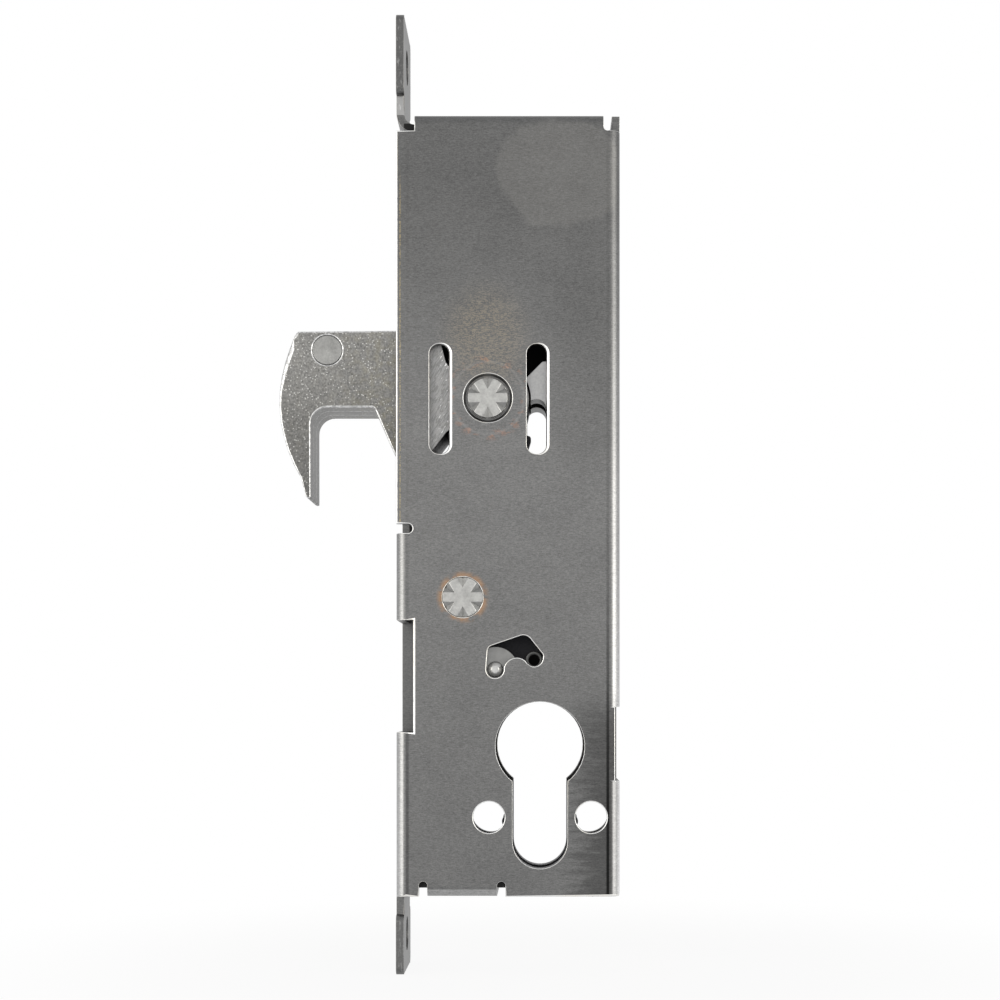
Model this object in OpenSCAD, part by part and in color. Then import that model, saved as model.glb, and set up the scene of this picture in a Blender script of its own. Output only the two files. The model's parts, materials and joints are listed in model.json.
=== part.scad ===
// Mortise hook lock for a sliding door: two folded sheet halves, a laminated hook bolt that swings up
// into the case, the drive lever that a profile cylinder turns it with, and a locking pin.
// X points away from the door edge, Y through the case, Z up. The origin is the cylinder's axis at
// the middle of the case's thickness. Millimetres.

/* [Case] */
// Sheet thickness of both case halves
sheet = 1.6; // [1.2:0.1:2]
// Thickness of the case over both plates
case_t = 20; // [19:0.5:24]
// Outer radius of the folds
bend_r = 2; // [1.8:0.1:2.4]
// Cylinder axis to the door edge
backset = 29; // [27:0.5:35]
// Cylinder axis to the outside of the back wall
back_x = 16.1; // [16.1:0.1:22]
// Cylinder axis up to the top of the case
top_z = 127.3; // [122:0.1:140]
// Cylinder axis down to the bottom of the case
bottom_z = 30.3; // [29.5:0.1:36]
// Gap between walls of the two halves that lie on each other
wall_gap = 0.05; // [0.03:0.01:0.1]
// Width of a fold's relief notch
relief_w = 1.7; // [1.4:0.1:2.4]
// Lower end of the tall front opening that the hook swings through
mouth_z = 43.85; // [38:0.25:48]
// Upper edge of the front recess
recess_top = 25.4; // [20:0.2:30]
// Lower edge of the front recess
recess_bottom = 2.8; // [0:0.2:8]
// Depth of the front recess in the near plate
recess_depth = 3.45; // [2.5:0.1:5]
// Upper edge of the back window that lets the cylinder's cam pass
window_top = 7.9; // [7:0.1:12]
// Lower edge of the back window
window_bottom = -7; // [-12:0.1:-6.5]
// Front of the case to the bottom wall
bottom_wall_in = 6.3; // [5.5:0.1:8]
// Length of the bottom wall
bottom_wall_len = 14.05; // [8:0.05:14.5]

/* [Ears] */
// Height of the top ear
ear_top_h = 16.2; // [12:0.2:24]
// Height of the bottom ear
ear_bottom_h = 12.1; // [10:0.1:24]
// Screw centre to screw centre
ear_pitch = 178.5; // [176:0.5:190]
// Middle between the two screws above the cylinder axis
ear_mid_z = 50.45; // [48:0.25:53]
// Screw hole radius
ear_hole_r = 3.5; // [2:0.1:3.8]
// Screw centre to the inner end of the top ear
ear_step = 8.3; // [5:0.1:9]
// Screw centre to the inner end of the bottom ear
ear_bottom_step = 4.8; // [4.2:0.1:7.5]
// Width of the neck that joins an ear to its wall
neck_w = 16.4; // [12:0.2:16.8]
// Outer radius of the neck's fold
neck_r = 3.7; // [3:0.1:4.5]
// Corner radius of the ears
ear_corner_r = 1.6; // [0.5:0.1:3]

/* [Cylinder opening] */
// Radius of the opening's round end
cyl_r = 9; // [8.7:0.05:9.3]
// Width of the opening's straight leg
cyl_slot_w = 11.1; // [10.4:0.1:12]
// Lowest point of the opening below the axis
cyl_drop = 24.7; // [24.2:0.1:25.6]
// Extra length of the opening in the far plate
cyl_far_extra = 0.5; // [0:0.1:1]
// Wall of the stiffening cheeks beside the leg
cheek_wall = 1.4; // [1.2:0.05:1.5]
// Radius of the small tab on each side of a cheek
cheek_tab_r = 1.2; // [0.8:0.1:1.3]
// Tabs below the axis
cheek_tab_drop = 15.2; // [15.2:0.1:17]
// Thickness of a cheek
cheek_t = 2.8; // [1.5:0.1:3.2]
// Radius of the cylinder screw's hole in the front wall
cyl_screw_r = 2.75; // [2.6:0.05:3.2]
// Cylinder screw below the axis
cyl_screw_drop = 19.2; // [18.6:0.1:19.8]

/* [Handle screws] */
// Distance between the two handle screw holes
handle_pitch = 20.6; // [20:0.1:22]
// Handle screw holes below the axis
handle_drop = 14.3; // [13:0.1:15.5]
// Hole radius in the near plate
handle_r = 3.2; // [2.2:0.1:3.4]
// Hole radius in the far plate
handle_far_r = 4.1; // [2.2:0.1:4.3]

/* [Rose slots] */
// Width of the two upright slots beside the hook pivot
slot_w = 4; // [3:0.1:4.4]
// Distance of each slot from the hook pivot
slot_offset = 9.8; // [9.6:0.1:11]
// Lower end of the slots below the hook pivot
slot_drop = 11.3; // [8:0.1:13]
// Upper end of the near slots above the hook pivot
slot_rise = 10.9; // [6:0.1:12]
// Upper end of the far slots above the hook pivot
slot_far_rise = 0.1; // [-1:0.1:4]

/* [Hook pivot] */
// Hook pivot across the case, from the cylinder axis
pivot_x = -10.5; // [-11.5:0.1:-9.5]
// Hook pivot above the cylinder axis
pivot_z = 70.1; // [68:0.1:78]
// Radius of the hook pivot rivet
pivot_r = 4; // [3.4:0.1:4]
// Height of the two staked rivets' ends over the plates
rivet_proud = 0.3; // [0.1:0.1:0.5]
// Radius of the dish pressed round the hook pivot rivet
dish_r = 5; // [4.7:0.1:6]
// Depth of that dish
dish_depth = 0.5; // [0.2:0.1:0.8]
// Outer radius of the shims beside the hook
shim_r = 7.3; // [6:0.1:8.4]
// Outer radius of the bushes in the hook's outer plates
bush_r = 5.2; // [4.9:0.1:5.8]

/* [Hook] */
// Thickness of the hook over its three plates
hook_t = 15.8; // [14:0.1:16]
// Thickness of the middle plate
hook_mid_t = 5.2; // [5:0.1:6]
// Angle that the hook swings through
swing = 93; // [88:0.5:94]
// Radius of the hub of the outer plates
hub_r = 8.3; // [7.5:0.1:9]
// Reach of the hook past the case front
hook_reach = 23.75; // [20:0.25:24]
// Radius of the hook's back
hook_back_r = 29.85; // [28:0.25:32]
// Top edge of the hook above its pivot
hook_top = 14; // [13:0.1:14.4]
// Throat top below the hook pivot
throat_drop = 1.6; // [1:0.1:3]
// Case front to the inside of the hook's nose
throat_depth = 17.4; // [16:0.1:18]
// Length of the nose below the hook pivot
nose_drop = 20; // [17:0.1:20]
// Fillet in the throat
throat_r = 3.4; // [1:0.1:4]
// Radius of the hook's rivets
hook_rivet_r = 2.95; // [2:0.05:3.2]
// Tail pin distance from the hook pivot
tail_a = 9.7; // [9.6:0.1:9.9]
// Tail pin direction at rest, below the level through the hook pivot
tail_dir = 60; // [58:0.5:62]
// Radius of the tail pin
tail_r = 2; // [1.6:0.1:2]

/* [Drive lever] */
// Lever pivot across the case, from the cylinder axis
lever_x = -15.55; // [-16:0.05:-15]
// Lever pivot above the cylinder axis
lever_z = 30; // [29.5:0.1:30.5]
// Radius of the lever pivot rivet
lever_rivet_r = 4.05; // [3.4:0.05:4.1]
// Thickness of the two lever plates together
lever_t = 4.8; // [3.6:0.1:4.8]
// Radius of the lever's hub
lever_hub_r = 8; // [7.4:0.1:8.6]
// Wall of the lever beside its slots
lever_wall = 2.4; // [2:0.1:2.8]
// Stud of the lever across the case, from the cylinder axis
stud_x = -1.2; // [-2:0.1:-0.5]
// Stud of the lever above the cylinder axis
stud_z = 17.5; // [17:0.1:19]
// Radius of the stud
stud_r = 1.7; // [1.4:0.1:2]
// Radius of the hollow in each end of the stud
stud_bore_r = 1.25; // [0.7:0.05:1.3]
// Depth of that hollow
stud_bore_depth = 1.8; // [0.5:0.1:3]

/* [Locking pin] */
// Radius of the locking pin
pin_r = 1.5; // [1.2:0.05:1.5]
// Rest pocket across the case, from the cylinder axis
pocket_x = -9.05; // [-9.4:0.05:-8.8]
// Rest pocket above the cylinder axis
pocket_z = 15.5; // [15.2:0.05:15.8]
// End pocket beyond the rest pocket
pocket_dx = 7.85; // [7.4:0.05:8.2]
// End pocket above the rest pocket
pocket_dz = 2.35; // [2.1:0.05:2.6]
// Radius of the pin's travel over the hump
travel_r = 4.4; // [4.35:0.05:4.6]
// Play between the pin and the edge of its slot
pocket_play = 0.3; // [0.15:0.05:0.4]
// Radius of the washers on the pin
washer_r = 4.6; // [3.4:0.1:4.7]
// Thickness of a washer
washer_t = 1.2; // [0.8:0.1:1.4]
// Radius of the rollers on the pin
roller_r = 2.8; // [2.2:0.1:3]
// Length of a roller
roller_l = 2.5; // [1.5:0.1:2.6]

/* [Locking spring] */
// Wire diameter of the locking spring
wire = 0.8; // [0.6:0.05:0.9]
// Mean radius of its coil
coil_r = 3.2; // [3:0.1:3.6]
// Whole turns that the coil is rounded up to
coil_turns = 2; // [1:1:2]
// Step along the post for each turn
coil_pitch = 1.25; // [1.2:0.01:1.3]
// Coil centre across the case, from the cylinder axis
coil_x = 9; // [8:0.1:9.4]
// Coil centre above the cylinder axis
coil_z = 26.5; // [26:0.1:30]
// Length of the spring's leg past the pin
leg_over = 2.4; // [1:0.1:3]
// Radius of the spring's post
post_r = 2.5; // [2:0.1:2.6]

/* [Hidden] */
$fn = 64;
// Largest step along a rounded corner, in degrees
arc_step = 12;
// Radial clearances: riveted or pressed, running, and loose
fit = 0.02;
run = 0.05;
loose = 0.15;
// Room between a moving piece and what it swings past
air = 0.3;
// Side clearance of sheet pieces that lie face to face
side = 0.1;
// Over-length of a cutting solid
over = 1;

near_y = -case_t / 2;
far_y = case_t / 2;
near_in = near_y + sheet;
far_in = far_y - sheet;
front_x = -backset;
bend_in = bend_r - sheet;
P = [pivot_x, pivot_z];
Q = [lever_x, lever_z];
A = [pocket_x, pocket_z];
B = A + [pocket_dx, pocket_dz];
steel = [0.47, 0.48, 0.50];
bright = [0.74, 0.74, 0.72];
hook_steel = [0.58, 0.56, 0.52];
dark = [0.20, 0.20, 0.21];

function unit(v) = v / norm(v);
function turn2(p, a) = [p[0] * cos(a) - p[1] * sin(a), p[0] * sin(a) + p[1] * cos(a)];
// A point turned by an angle as the camera-side view sees it, clockwise when positive
function swung(p, centre, a) = centre + turn2(p - centre, -a);
function normal_angle(a) = a > 180 ? a - 360 : a < -180 ? a + 360 : a;
// The arc that rounds corner c = [x, z, radius] between its neighbours p and n
function corner_arc(p, c, n) =
    c[2] == 0 ? [[c[0], c[1]]] :
    let (at = [c[0], c[1]],
        u = unit([p[0], p[1]] - at),
        v = unit([n[0], n[1]] - at),
        half = acos(u * v) / 2,
        mid = at + unit(u + v) * c[2] / sin(half),
        from = at + u * c[2] / tan(half) - mid,
        to = at + v * c[2] / tan(half) - mid,
        a0 = atan2(from[1], from[0]),
        turn = normal_angle(atan2(to[1], to[0]) - a0),
        steps = max(2, ceil(abs(turn) / arc_step)))
    [for (i = [0:steps]) mid + c[2] * [cos(a0 + turn * i / steps), sin(a0 + turn * i / steps)]];
function area2(pts) = let (n = len(pts))
    sum([for (i = [0:n - 1]) pts[i][0] * pts[(i + 1) % n][1] - pts[(i + 1) % n][0] * pts[i][1]]);
function sum(v) = v * [for (x = v) 1];
// A closed outline from points [x, z, corner radius], counterclockwise whichever way they are given
function outline(pts) = let (n = len(pts), way = area2(pts) < 0 ? -1 : 1)
    [for (k = [0:n - 1]) let (i = way > 0 ? k : n - 1 - k)
        each corner_arc(pts[(i + n - way) % n], pts[i], pts[(i + n + way) % n])];
function arc(centre, r, a0, a1) = let (steps = max(2, ceil(abs(a1 - a0) / arc_step * 2)))
    [for (i = [0:steps]) centre + r * [cos(a0 + (a1 - a0) * i / steps), sin(a0 + (a1 - a0) * i / steps)]];

// A flat outline in the plane of the plates, made solid from y0 to y1
module plate(y0, y1) translate([0, y1, 0]) rotate([90, 0, 0]) linear_extrude(y1 - y0) children();
// A round bar through the case
module bar(p, r, y0, y1) translate([p[0], y1, p[1]]) rotate([90, 0, 0]) cylinder(r = r, h = y1 - y0);
module tube(p, r, r_in, y0, y1) difference() {
    bar(p, r, y0, y1);
    bar(p, r_in, y0 - over, y1 + over);
}
module box(x0, x1, y0, y1, z0, z1) translate([x0, y0, z0]) cube([x1 - x0, y1 - y0, z1 - z0]);
module rect(x0, x1, z0, z1) translate([x0, z0]) square([x1 - x0, z1 - z0]);

// Openings of the plates

module cylinder_hole(drop, grow = 0) {
    circle(r = cyl_r + grow);
    rect(-cyl_slot_w / 2 - grow, cyl_slot_w / 2 + grow, -drop + cyl_slot_w / 2, 0);
    translate([0, -drop + cyl_slot_w / 2]) circle(r = cyl_slot_w / 2 + grow);
}
module upright_slot(x, z0, z1) {
    rect(x - slot_w / 2, x + slot_w / 2, z0 + slot_w / 2, z1 - slot_w / 2);
    for (z = [z0 + slot_w / 2, z1 - slot_w / 2]) translate([x, z]) circle(r = slot_w / 2);
}
module handle_holes(r) for (s = [-1, 1]) translate([s * handle_pitch / 2, -handle_drop]) circle(r = r);

// Locking slot: two pockets joined over a hump that follows the pin's travel
pocket_r = pin_r + pocket_play;
half_span = norm(B - A) / 2;
span_dir = unit(B - A);
span_up = [-span_dir[1], span_dir[0]];
travel_mid = (A + B) / 2 - span_up * sqrt(travel_r * travel_r - half_span * half_span);
travel_a0 = atan2(A[1] - travel_mid[1], A[0] - travel_mid[0]);
travel_a1 = atan2(B[1] - travel_mid[1], B[0] - travel_mid[0]);
travel = travel_a0 - travel_a1;
hump_r = travel_r - pin_r - pocket_play * 2 / 3;
// The slot's roof over the pin's highest place
roof = travel_r + pin_r + 2 * pocket_play;
function slot_point(along, up) = travel_mid + span_dir * along + span_up * up;
// Corners of the slot's roof: offset from the pocket or the peak, then the corner's radius
roof_left = [0.35, 4.5, 1.2];
roof_peak = [4, 0.15, 1.8];
roof_right = [0.1, 0.5, 0.8];
kidney_roof = [
    [A[0] - pocket_r, A[1], 0],
    [A[0] - pocket_r + roof_left[0], A[1] + roof_left[1], roof_left[2]],
    concat(slot_point(roof_peak[0], roof + roof_peak[1]), roof_peak[2]),
    [B[0] + pocket_r + roof_right[0], B[1] + roof_right[1], roof_right[2]],
    [B[0] + pocket_r, B[1], 0],
    concat(travel_mid, 0),
    [A[0], A[1], 0]];
module kidney() {
    difference() {
        polygon(outline(kidney_roof));
        translate(travel_mid) circle(r = hump_r);
    }
    for (p = [A, B]) translate(p) circle(r = pocket_r);
}

// Case halves

// Profile of a folded wall: u is across the wall, the fold lies at the plate, dir points into the case
module fold_profile(u, dir, y_plate, y_end) {
    s = y_end > y_plate ? 1 : -1;
    polygon(outline([
        [u + dir * bend_r, y_plate, 0],
        [u, y_plate, bend_r],
        [u, y_end, 0],
        [u + dir * sheet, y_end, 0],
        [u + dir * sheet, y_plate + s * sheet, bend_in],
        [u + dir * bend_r, y_plate + s * sheet, 0]]));
}
module upright_wall(u, dir, y_plate, y_end, z0, z1)
    translate([0, 0, z0]) linear_extrude(z1 - z0) fold_profile(u, dir, y_plate, y_end);
module level_wall(u, dir, y_plate, y_end, x0, x1)
    translate([x1, 0, 0]) rotate([0, -90, 0]) linear_extrude(x1 - x0) fold_profile(u, dir, y_plate, y_end);
// A relief notch with a round end, upwards or downwards from an edge
module relief_up(x, z_edge, z_end) {
    rect(x - relief_w / 2, x + relief_w / 2, z_edge, z_end - relief_w / 2);
    translate([x, z_end - relief_w / 2]) circle(r = relief_w / 2);
}
module relief_down(x, z_edge, z_end) {
    rect(x - relief_w / 2, x + relief_w / 2, z_end + relief_w / 2, z_edge);
    translate([x, z_end + relief_w / 2]) circle(r = relief_w / 2);
}

// How far a relief cuts past the wall it frees, into the fold beside it, and how deep it is
relief_past = 1.8;
relief_bite = 0.4;
relief_deep = 3.1;
// Step of the near plate's edge beside the back window
window_step = 1;
fold_x = front_x + neck_r;
top_relief_z = top_z - sheet - relief_past;
back_relief_x = back_x - bend_r - relief_w / 2 + relief_bite;
mouth_relief_r = relief_w / 2 + side;
mouth_relief_x = front_x + bend_r + relief_bite;
bottom_wall_x0 = front_x + bottom_wall_in;
bottom_wall_x1 = bottom_wall_x0 + bottom_wall_len;
tab_y = far_in - wall_gap;
shell_top = top_z - sheet - wall_gap;
shell_bottom = -bottom_z + sheet + wall_gap;

module near_plate_outline() difference() {
    rect(front_x, back_x, -bottom_z, top_z);
    // Folded edges end where the fold begins
    rect(fold_x, back_x + over, top_z - bend_r, top_z + over);
    rect(back_x - bend_r, back_x + over, window_top, top_z + over);
    rect(back_x - bend_r, back_x + over, -bottom_z - over, window_bottom);
    rect(back_x - window_step, back_x + over, window_bottom - over, window_top + over);
    rect(front_x - over, front_x + bend_r, recess_top, mouth_z);
    rect(front_x - over, front_x + bend_r, -bottom_z - over, recess_bottom);
    rect(bottom_wall_x0, bottom_wall_x1, -bottom_z - over, -bottom_z + bend_r);
    // Straight cuts
    rect(front_x - over, fold_x, top_relief_z, top_z + over);
    rect(front_x - over, front_x + recess_depth, recess_bottom, recess_top);
    // Reliefs at the ends of the folds
    rect(front_x - over, mouth_relief_x, mouth_z - mouth_relief_r, mouth_z + mouth_relief_r);
    translate([mouth_relief_x, mouth_z]) circle(r = mouth_relief_r);
    relief_down(back_relief_x, top_z + over, top_relief_z);
    for (x = [bottom_wall_x0 - relief_w / 2, bottom_wall_x1 + relief_w / 2])
        relief_up(x, -bottom_z - over, -bottom_z + relief_deep);
    // Openings
    cylinder_hole(cyl_drop);
    handle_holes(handle_r);
    for (s = [-1, 1]) upright_slot(pivot_x + s * slot_offset, pivot_z - slot_drop, pivot_z + slot_rise);
    kidney();
    translate(P) circle(r = pivot_r + fit);
    translate(Q) circle(r = lever_rivet_r + fit);
}

module case_body() color(steel) difference() {
    union() {
        plate(near_y, near_in) near_plate_outline();
        upright_wall(front_x, 1, near_y, tab_y, recess_top, mouth_z - mouth_relief_r);
        upright_wall(front_x, 1, near_y, tab_y, -bottom_z, recess_bottom);
        upright_wall(back_x, -1, near_y, tab_y, window_top, top_relief_z);
        upright_wall(back_x, -1, near_y, tab_y, -bottom_z, window_bottom);
        box(back_x - sheet, back_x, near_y + bend_r, tab_y, top_relief_z, top_z);
        level_wall(top_z, -1, near_y, far_y, fold_x, back_relief_x - relief_w / 2);
        level_wall(-bottom_z, 1, near_y, far_y, bottom_wall_x0, bottom_wall_x1);
    }
    // Room for the lower ear's neck behind the plate
    box(front_x - over, fold_x + air, near_in + run, far_y + over,
        -bottom_z - over, shell_bottom + sheet + air);
    // Cylinder screw through the front wall
    translate([front_x - over, 0, -cyl_screw_drop]) rotate([0, 90, 0])
        cylinder(r = cyl_screw_r, h = 2 * sheet + over);
    // Slots in the back wall for the tongues of the two hook stops
    for (s = [-1, 1], z = tongue_z)
        box(back_x - sheet - over, back_x + over,
            s * stop_mid_y - stop_t / 2 - loose, s * stop_mid_y + stop_t / 2 + loose,
            z - tongue_h / 2 - loose, z + tongue_h / 2 + loose);
    // Dish round the hook pivot rivet
    translate([P[0], near_y + dish_depth, P[1]]) rotate([90, 0, 0])
        cylinder(r1 = dish_r - dish_depth, r2 = dish_r + dish_depth, h = 2 * dish_depth);
}

module far_plate_outline() difference() {
    rect(front_x, back_x, shell_bottom, shell_top);
    rect(fold_x, back_x + over, shell_top - bend_r, shell_top + over);
    rect(fold_x, back_x + over, shell_bottom - over, shell_bottom + bend_r);
    cylinder_hole(cyl_drop + cyl_far_extra);
    handle_holes(handle_far_r);
    for (s = [-1, 1]) upright_slot(pivot_x + s * slot_offset, pivot_z - slot_drop, pivot_z + slot_far_rise);
    kidney();
    translate(P) circle(r = pivot_r + fit);
    translate(Q) circle(r = lever_rivet_r + fit);
    translate([coil_x, coil_z]) circle(r = post_r - post_step + fit);
}
// One ear with its neck; s = 1 at the top, -1 at the bottom
module ear(s, wall_in, screw_z, step, h) {
    bend_z = wall_in + s * neck_r;
    step_z = screw_z - s * step;
    end_z = step_z + s * h;
    difference() {
        translate([fold_x, neck_w / 2, bend_z]) rotate([90, 0, 0]) cylinder(r = neck_r, h = neck_w);
        translate([fold_x, neck_w / 2 + over, bend_z]) rotate([90, 0, 0])
            cylinder(r = neck_r - sheet, h = neck_w + 2 * over);
        box(fold_x, fold_x + neck_r + over, -neck_w, neck_w, bend_z - neck_r - over, bend_z + neck_r + over);
        box(fold_x - neck_r - over, fold_x + over, -neck_w, neck_w,
            min(bend_z, bend_z + s * (neck_r + over)), max(bend_z, bend_z + s * (neck_r + over)));
    }
    box(front_x, front_x + sheet, -neck_w / 2, neck_w / 2, min(bend_z, step_z), max(bend_z, step_z));
    difference() {
        translate([front_x, 0, 0]) rotate([90, 0, 90]) linear_extrude(sheet) polygon(outline([
            [-case_t / 2, step_z, ear_corner_r], [case_t / 2, step_z, ear_corner_r],
            [case_t / 2, end_z, ear_corner_r], [-case_t / 2, end_z, ear_corner_r]]));
        translate([front_x - over, 0, screw_z]) rotate([0, 90, 0])
            cylinder(r = ear_hole_r, h = sheet + 2 * over);
    }
}
top_screw_z = ear_mid_z + ear_pitch / 2;
bottom_screw_z = ear_mid_z - ear_pitch / 2;
module case_frame() color(steel) {
    plate(far_in, far_y) far_plate_outline();
    level_wall(shell_top, -1, far_y, near_y + bend_r, fold_x, back_relief_x - relief_w / 2);
    level_wall(shell_bottom, 1, far_y, near_y + bend_r, fold_x, back_x - sheet - loose);
    ear(1, shell_top - sheet, top_screw_z, ear_step, ear_top_h);
    ear(-1, shell_bottom + sheet, bottom_screw_z, ear_bottom_step, ear_bottom_h);
}

// Staked rivets

stake_n = 6;
stake_len = 2.2;
stake_depth = 0.7;
stake_w = 2.6;
// Star of wedge marks that spreads a rivet's end, outwards along local z
module stake_marks(r) for (i = [0:stake_n - 1]) rotate([0, 0, 90 + i * 360 / stake_n])
    translate([r - stake_len, 0, 0]) rotate([0, atan(stake_depth / stake_len), 0])
        rotate([90, 0, 90]) linear_extrude(stake_len + over)
            polygon([[0, 0], [stake_w, 2 * stake_depth], [-stake_w, 2 * stake_depth]]);
module staked_rivet(p, r) difference() {
    bar(p, r, near_y - rivet_proud, far_y + rivet_proud);
    translate([p[0], near_y - rivet_proud, p[1]]) rotate([90, 0, 0]) stake_marks(r);
    translate([p[0], far_y + rivet_proud, p[1]]) rotate([-90, 0, 0]) stake_marks(r);
}
module hook_pivot_rivet() color(bright) staked_rivet(P, pivot_r);
module lever_pivot_rivet() color(bright) staked_rivet(Q, lever_rivet_r);

// Spacers, shims and cheeks

shim_t = far_in - hook_t / 2 - 2 * run;
module hook_shim(s) {
    y = s * (hook_t / 2 + run);
    tube(P, shim_r, pivot_r + run, min(y, y + s * shim_t), max(y, y + s * shim_t));
}
module hook_shim_front() color(dark) hook_shim(-1);
module hook_shim_rear() color(dark) hook_shim(1);
spacer_wall = 1.9;
module lever_spacer(s) {
    y0 = s * (lever_t / 2 + side);
    y1 = s * (far_in - run);
    tube(Q, lever_rivet_r + spacer_wall, lever_rivet_r + run, min(y0, y1), max(y0, y1));
}
module lever_spacer_front() color(bright) lever_spacer(-1);
module lever_spacer_rear() color(bright) lever_spacer(1);
// The cheeks end this far below the place where the opening's round end meets its leg
cheek_below = 0.5;
cheek_top = sqrt(cyl_r * cyl_r - cyl_slot_w * cyl_slot_w / 4) + cheek_below;
// The tabs reach this near to the middle of a handle screw
tab_to_screw = 2.6;
// Middle of a cheek's thickness
cheek_y = far_in - cheek_t / 2;
module cylinder_cheek(s) plate(s * cheek_y - cheek_t / 2, s * cheek_y + cheek_t / 2)
    difference() {
        union() {
            rect(-cyl_slot_w / 2 - cheek_wall, cyl_slot_w / 2 + cheek_wall,
                -cyl_drop + cyl_slot_w / 2, -cheek_top);
            translate([0, -cyl_drop + cyl_slot_w / 2]) circle(r = cyl_slot_w / 2 + cheek_wall);
            for (s = [-1, 1])
                translate([s * (handle_pitch / 2 - tab_to_screw - cheek_tab_r), -cheek_tab_drop])
                    circle(r = cheek_tab_r);
        }
        cylinder_hole(cyl_drop + (s > 0 ? cyl_far_extra : 0));
    }
module cylinder_cheek_front() color(dark) cylinder_cheek(-1);
module cylinder_cheek_rear() color(dark) cylinder_cheek(1);

// Hook stops: the swung-up hook's neck lands on their top edge

mid_y = hook_mid_t / 2;
stop_t = hook_t / 2 - mid_y - side;
stop_mid_y = mid_y + side + stop_t / 2;
// Corners of the hook's neck from its pivot
neck_top_x = 10.1;
neck_root_x = 8.4;
neck_root_z = 7.2;
neck_top = P + [-neck_top_x, hook_top];
neck_root = P + [-neck_root_x, neck_root_z];
landing = [for (p = [neck_root, neck_top]) swung(p, P, swing)];
stop_top_z = min(landing[0][1], landing[1][1]) - air;
// The slanted edge that shows through the near slot passes this point from the pivot
stop_face_x = 8.2;
stop_face_z = 4.9;
stop_face = P + [stop_face_x, stop_face_z];
// The stop's foot below the slots, and the places of its two tongues from the pivot
stop_foot = 1.8;
stop_foot_z = pivot_z - slot_drop - stop_foot;
stop_corner_r = 0.5;
tongue_h = 5;
tongue_low = 8;
tongue_high = 4;
tongue_z = [pivot_z - tongue_low, pivot_z + tongue_high];
module hook_stop(s) plate(s * stop_mid_y - stop_t / 2, s * stop_mid_y + stop_t / 2) {
    difference() {
        polygon(outline([
            [pivot_x, stop_foot_z, 0],
            [pivot_x, stop_face[1] + pivot_x - stop_face[0], 0],
            [stop_face[0] + stop_top_z - stop_face[1], stop_top_z, stop_corner_r],
            [back_x - sheet - run, stop_top_z, stop_corner_r],
            [back_x - sheet - run, stop_foot_z, stop_corner_r]]));
        translate(P) circle(r = hub_r + air);
        // Room for a rose screw through the slot
        upright_slot(pivot_x + slot_offset, stop_foot_z - 2 * slot_w, pivot_z);
        rect(pivot_x - over, pivot_x + slot_offset, stop_foot_z - over, pivot_z - slot_w / 2);
    }
    for (z = tongue_z) rect(back_x - sheet - over, back_x, z - tongue_h / 2, z + tongue_h / 2);
}
module hook_stop_front() color(steel) hook_stop(-1);
module hook_stop_rear() color(steel) hook_stop(1);

// Hook

// Middle of the back's arc below the pivot, and its two ends below the top edge and the pivot
back_mid_drop = 0.3;
back_mid = [front_x - hook_reach + hook_back_r, pivot_z - back_mid_drop];
back_top_drop = 0.4;
back_end_drop = 15.6;
// The top edge slopes down from the neck to the nose
top_slope = 0.25;
top_len = 20.4;
// Width of the nose's flat and how much its outer corner stands back
nose_flat = 0.95;
nose_back = 0.2;
// Throat top in front of the case, heel and hub joint from the pivot
throat_end = 4.6;
heel_x = 16.3;
heel_drop = 17;
heel = P + [-heel_x, -heel_drop];
heel_r = 2.5;
joint_x = 8.4;
joint_drop = 6.7;
hub_joint = [-joint_x, -joint_drop];
nose_x = front_x - throat_depth;
nose_z = pivot_z - nose_drop;
throat_z = pivot_z - throat_drop;
back_from = 180 - asin((hook_top - back_top_drop) / hook_back_r);
back_to = 180 + asin(back_end_drop / hook_back_r);
// Outer rivet in front of the case and above the pivot; inner rivet before and below the pivot
outer_rivet_x = 14.05;
outer_rivet_z = 10;
inner_rivet_x = 15.5;
inner_rivet_drop = 0.6;
outer_rivet_at = [front_x - outer_rivet_x, pivot_z + outer_rivet_z];
inner_rivet_at = P + [-inner_rivet_x, -inner_rivet_drop];
tail = P + tail_a * [cos(tail_dir), -sin(tail_dir)];
// The hook's arm from its pivot over the neck, round the back, nose, throat and heel
module hook_arm() polygon(outline(concat(
    [concat(P, 0), concat(neck_root, 3), concat(neck_top, 1),
        [front_x - top_len, neck_top[1] - top_slope, 0.8]],
    [for (p = arc(back_mid, hook_back_r, back_from, back_to)) concat(p, 0)],
    [[nose_x - nose_flat, nose_z + nose_back, 0.6], [nose_x, nose_z, 0.3], [nose_x, throat_z, throat_r],
        [front_x - throat_end, throat_z, 0.8], concat(heel, heel_r), concat(P + hub_joint, 0)])));
module hook_rivet_holes()
    for (p = [outer_rivet_at, inner_rivet_at]) translate(p) circle(r = hook_rivet_r + fit);
tail_wall = 1;
module tail_lobe() {
    translate(tail) circle(r = tail_r + tail_wall);
    translate(P) rotate([0, 0, -tail_dir])
        rect(0, tail_a, -tail_r - tail_wall, tail_r + tail_wall);
}
module hook_outer(y0, y1) plate(y0, y1) difference() {
    union() {
        translate(P) circle(r = hub_r);
        hook_arm();
        tail_lobe();
    }
    translate(P) circle(r = bush_r + fit);
    translate(tail) circle(r = tail_r + fit);
    hook_rivet_holes();
}
module hook_plate_front() color(hook_steel) hook_outer(-hook_t / 2, -mid_y);
module hook_plate_rear() color(hook_steel) hook_outer(mid_y, hook_t / 2);
// Corner of the middle plate's notch for the fork, from the pivot
fork_room_x = 5.5;
fork_room_drop = 4;
fork_room = [-fork_room_x, -fork_room_drop];
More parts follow.
